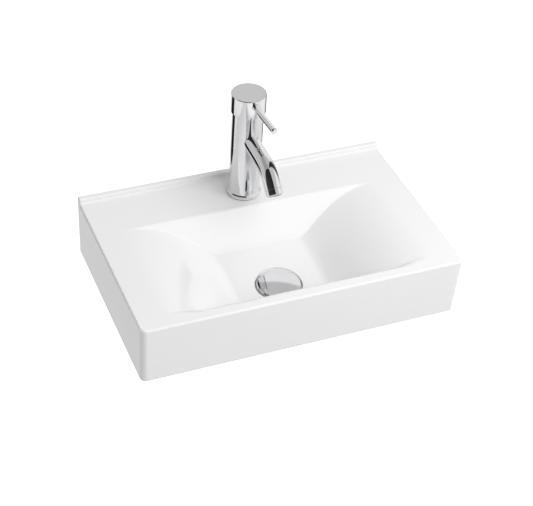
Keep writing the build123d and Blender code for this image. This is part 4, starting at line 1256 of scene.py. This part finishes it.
@dataclass
class CarriedOver:
    """The CAD nodes whose own shape is shown, each with the slot of its finish."""

    slots: dict = field(default_factory=lambda: {
        Slot.BRASS: ["cartridge_nut", "click_barrel", "plug_spindle"],
        Slot.STEEL: ["stem_pivot_pin", "control_stem", "lever_grub_screw", "tap_steel_shoe", "click_spring",
                     "wall_washers"],
        Slot.RUBBER: ["tap_base_gasket", "aerator_washer", "cartridge_seals", "tap_rubber_shoe",
                      "waste_top_gasket", "plug_seal", "waste_cone_washer"],
        Slot.CARTRIDGE_PLASTIC: ["cartridge_base", "cartridge_housing", "cartridge_rotor"],
        Slot.DISC_CERAMIC: ["fixed_disc", "moving_disc"],
        Slot.WHITE_PLASTIC: ["aerator_insert", "waste_slip_washer", "wall_bushes"],
    })

    def dress(self, paints: Paints) -> None:
        """Gives each carried-over node its finish."""
        for slot, names in self.slots.items():
            for name in names:
                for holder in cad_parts[name].material_slots:
                    holder.material = paints.by_slot[slot]
                log.info("%s keeps its CAD shape, in %s", name, slot.value)


# The studio


@dataclass(frozen=True)
class Sector:
    """A part of the studio's surroundings as metal shows it.

    Attributes:
        start: Where it starts, in degrees to the right of straight ahead of the basin.
        tone: How bright it is.
    """

    start: float
    tone: float


@dataclass
class Studio:
    """A plain pale floor far below the basin, an even world, and a soft lamp to the right of the front."""

    floor: float = -795.0
    floor_half: float = 9000.0
    floor_tone: float = 0.85
    floor_seen: float = 0.75
    floor_mirrored: float = 0.4
    aim: Place = (0.0, -150.0, 30.0)
    world_level: float = 0.49
    key_watts: float = 28.5
    key_at: Place = (620.0, -1220.0, 1480.0)
    key_size: float = 1500.0
    glint_watts: float = 1.3
    glint_size: float = 420.0
    sectors: Tuple[Sector, ...] = (Sector(-180, 0.62), Sector(-100, 0.04), Sector(0, 1.0), Sector(104, 0.04),
                                   Sector(122, 0.95))
    ceiling_rise: Tuple[float, float] = (0.625, 0.665)
    ceiling_tone: float = 0.62
    edge_blur: float = 0.006

    def build(self) -> None:
        """Sets up everything that isn't the object."""
        bpy.context.scene.view_settings.view_transform = "Standard"
        self.lay_floor()
        self.light_world()
        key = self.hang_lamp("key_lamp", self.key_at, self.key_size, self.key_watts)
        key.visible_glossy = False
        glint = self.hang_lamp("glint_lamp", self.key_at, self.glint_size, self.glint_watts)
        glint.visible_diffuse = False
        self.stand_flag("flag_left", (-760.0, 900.0, -420.0), 760.0, 700.0)
        self.stand_flag("flag_right", (1050.0, 640.0, -420.0), 420.0, 700.0)

    def lay_floor(self) -> None:
        """Lays the floor, white to the camera and in reflections."""
        bm = bmesh.new()
        bmesh.ops.create_grid(bm, x_segments=8, y_segments=8, size=self.floor_half * MM)
        bmesh.ops.translate(bm, vec=(0, 0, self.floor * MM), verts=bm.verts[:])
        floor = as_object("floor", bm)
        graph = Graph("pale_floor")
        graph.shader.inputs["Base Color"].default_value = (self.floor_tone,) * 3 + (1.0,)
        graph.shader.inputs["Roughness"].default_value = 0.9
        rays = graph.add("ShaderNodeLightPath")
        seen = graph.add("ShaderNodeMath", operation="MAXIMUM")
        glow = graph.add("ShaderNodeMath", operation="ADD")
        graph.join(rays, "Is Camera Ray", seen, 0)
        graph.join(rays, "Is Transmission Ray", seen, 1)
        graph.join(graph.span(seen, "Value", 0.0, self.floor_seen), "Result", glow, 0)
        graph.join(graph.span(rays, "Is Glossy Ray", 0.0, self.floor_mirrored), "Result", glow, 1)
        graph.shader.inputs["Emission Color"].default_value = (1.0, 1.0, 1.0, 1.0)
        graph.join(glow, "Value", graph.shader, "Emission Strength")
        floor.data.materials.append(graph.material)

    def light_world(self) -> None:
        """An even pale world, white to the camera, whose dark gaps between soft screens the metal shows."""
        world = bpy.data.worlds.new("studio")
        bpy.context.scene.world = world
        world.use_nodes = True
        tree = world.node_tree
        tree.nodes.clear()
        add, join = tree.nodes.new, tree.links.new
        output = add("ShaderNodeOutputWorld")
        even = add("ShaderNodeBackground")
        even.inputs["Strength"].default_value = self.world_level
        white = add("ShaderNodeBackground")
        white.inputs["Color"].default_value = (1.0, 1.0, 1.0, 1.0)
        even.inputs["Color"].default_value = (1.0, 1.0, 1.0, 1.0)
        screens = add("ShaderNodeBackground")
        place = add("ShaderNodeTexCoord")
        parts = add("ShaderNodeSeparateXYZ")
        ahead = add("ShaderNodeMath")
        ahead.operation = "MULTIPLY"
        ahead.inputs[1].default_value = -1.0
        round_about = add("ShaderNodeMath")
        round_about.operation = "ARCTAN2"
        share = add("ShaderNodeMapRange")
        share.inputs["From Min"].default_value = -math.pi
        share.inputs["From Max"].default_value = math.pi
        ramp = add("ShaderNodeValToRGB")
        self.paint_sectors(ramp.color_ramp)
        ceiling = add("ShaderNodeMapRange")
        ceiling.inputs["From Min"].default_value, ceiling.inputs["From Max"].default_value = self.ceiling_rise
        ceiling.inputs["To Min"].default_value = 1.0
        ceiling.inputs["To Max"].default_value = self.ceiling_tone
        rays = add("ShaderNodeLightPath")
        for_metal = add("ShaderNodeMixShader")
        for_camera = add("ShaderNodeMixShader")
        clear = add("ShaderNodeMath")
        clear.operation = "MAXIMUM"
        join(place.outputs["Generated"], parts.inputs["Vector"])
        join(parts.outputs["Y"], ahead.inputs[0])
        join(parts.outputs["X"], round_about.inputs[0])
        join(ahead.outputs["Value"], round_about.inputs[1])
        join(round_about.outputs["Value"], share.inputs["Value"])
        join(share.outputs["Result"], ramp.inputs["Fac"])
        join(ramp.outputs["Color"], screens.inputs["Color"])
        join(parts.outputs["Z"], ceiling.inputs["Value"])
        join(ceiling.outputs["Result"], screens.inputs["Strength"])
        join(rays.outputs["Is Glossy Ray"], for_metal.inputs["Fac"])
        join(even.outputs["Background"], for_metal.inputs[1])
        join(screens.outputs["Background"], for_metal.inputs[2])
        join(rays.outputs["Is Camera Ray"], clear.inputs[0])
        join(rays.outputs["Is Transmission Ray"], clear.inputs[1])
        join(clear.outputs["Value"], for_camera.inputs["Fac"])
        join(for_metal.outputs["Shader"], for_camera.inputs[1])
        join(white.outputs["Background"], for_camera.inputs[2])
        join(for_camera.outputs["Shader"], output.inputs["Surface"])

    def paint_sectors(self, ramp: bpy.types.ColorRamp) -> None:
        """Sets a ramp's stops to the sectors round the basin, with soft edges.

        Args:
            ramp: The ramp, with its two stops of the start.
        """
        first, last = ramp.elements[0], ramp.elements[1]
        first.position, last.position = 0.0, 1.0
        first.color = (self.sectors[0].tone,) * 3 + (1.0,)
        last.color = (self.sectors[-1].tone,) * 3 + (1.0,)
        for before, sector in zip(self.sectors, self.sectors[1:]):
            edge = (sector.start + 180) / 360
            ramp.elements.new(edge - self.edge_blur).color = (before.tone,) * 3 + (1.0,)
            ramp.elements.new(edge + self.edge_blur).color = (sector.tone,) * 3 + (1.0,)

    @staticmethod
    def stand_flag(name: str, centre: Place, width: float, height: float) -> None:
        """Stands a black flag behind the basin, which only reflections show.

        Args:
            name: Its name.
            centre: Its middle.
            width: Its width.
            height: Its height.
        """
        bm = bmesh.new()
        bmesh.ops.create_grid(bm, x_segments=2, y_segments=2, size=0.5 * MM)
        bmesh.ops.scale(bm, vec=(width, height, 1), verts=bm.verts[:])
        facing = (-Vector((centre[0], centre[1], 0))).to_track_quat("Z", "Y").to_matrix().to_4x4()
        bmesh.ops.transform(bm, matrix=Matrix.Translation(Vector(centre) * MM) @ facing, verts=bm.verts[:])
        flag = as_object(name, bm)
        graph = Graph(name + "_cloth")
        graph.shader.inputs["Base Color"].default_value = (0.01, 0.01, 0.01, 1.0)
        graph.shader.inputs["Roughness"].default_value = 1.0
        flag.data.materials.append(graph.material)
        flag.visible_camera = False
        flag.visible_diffuse = False
        flag.visible_shadow = False
        flag.visible_transmission = False

    def hang_lamp(self, name: str, at: Place, size: float, watts: float) -> bpy.types.Object:
        """Hangs a soft square lamp that faces the basin.

        Args:
            name: Its name.
            at: Where it hangs.
            size: Its side.
            watts: Its power.

        Returns:
            The lamp.
        """
        lamp = bpy.data.lights.new(name, "AREA")
        lamp.size = size * MM
        lamp.energy = watts
        holder = bpy.data.objects.new(name, lamp)
        bpy.context.scene.collection.objects.link(holder)
        holder.location = Vector(at) * MM
        holder.rotation_euler = (Vector(self.aim) - Vector(at)).to_track_quat("-Z", "Y").to_euler()
        return holder


@dataclass
class Viewpoint:
    """The camera, at the photograph's viewing angle."""

    at: Place = (-676.65, -1638.9, 1343.29)
    ahead: Place = (0.32074, 0.70648, -0.63089)
    right: Place = (0.92691, -0.37114, 0.05562)
    up: Place = (0.19485, 0.60262, 0.77388)
    focal: float = 1448.13
    image_width: float = 533.0
    sensor: float = 36.0

    def build(self) -> None:
        """Sets the scene's camera."""
        lens = bpy.data.cameras.new("photo_camera")
        lens.sensor_width = self.sensor
        lens.lens = self.focal / self.image_width * self.sensor
        lens.clip_start = 0.05
        lens.clip_end = 60.0
        camera = bpy.data.objects.new("photo_camera", lens)
        bpy.context.scene.collection.objects.link(camera)
        turn = Matrix((self.right, self.up, -Vector(self.ahead))).transposed().to_4x4()
        camera.matrix_world = Matrix.Translation(Vector(self.at) * MM) @ turn
        bpy.context.scene.camera = camera


def main() -> None:
    """Builds the object's looks in order, then the studio and the camera."""
    logging.basicConfig(level=logging.INFO, format="%(name)s: %(message)s")
    paints = Paints().mix()
    Casting().build(paints)
    Tap().build(paints)
    Waste().build(paints)
    HexNut("tap_fixing_nut", 13.0, 8.0, 4.0, Slot.STEEL, "tap_nut", ((0.0, -61.0, 37.5),),
           (0, 0, -1)).build(paints)
    HexNut("waste_fixing_nut", 54.0, 9.0, 20.95, Slot.BRASS, "waste_backnut", ((0.0, -199.0, -37.5),),
           (0, 0, -1)).build(paints)
    HexNut("wall_fixing_nuts", 17.0, 8.0, 5.1, Slot.STEEL, "wall_nuts",
           ((-140.0, -16.5, 0.0), (140.0, -16.5, 0.0)), (0, -1, 0)).build(paints)
    Stud().build(paints)
    CarriedOver().dress(paints)
    Studio().build()
    Viewpoint().build()


if __name__ == "__main__":
    main()
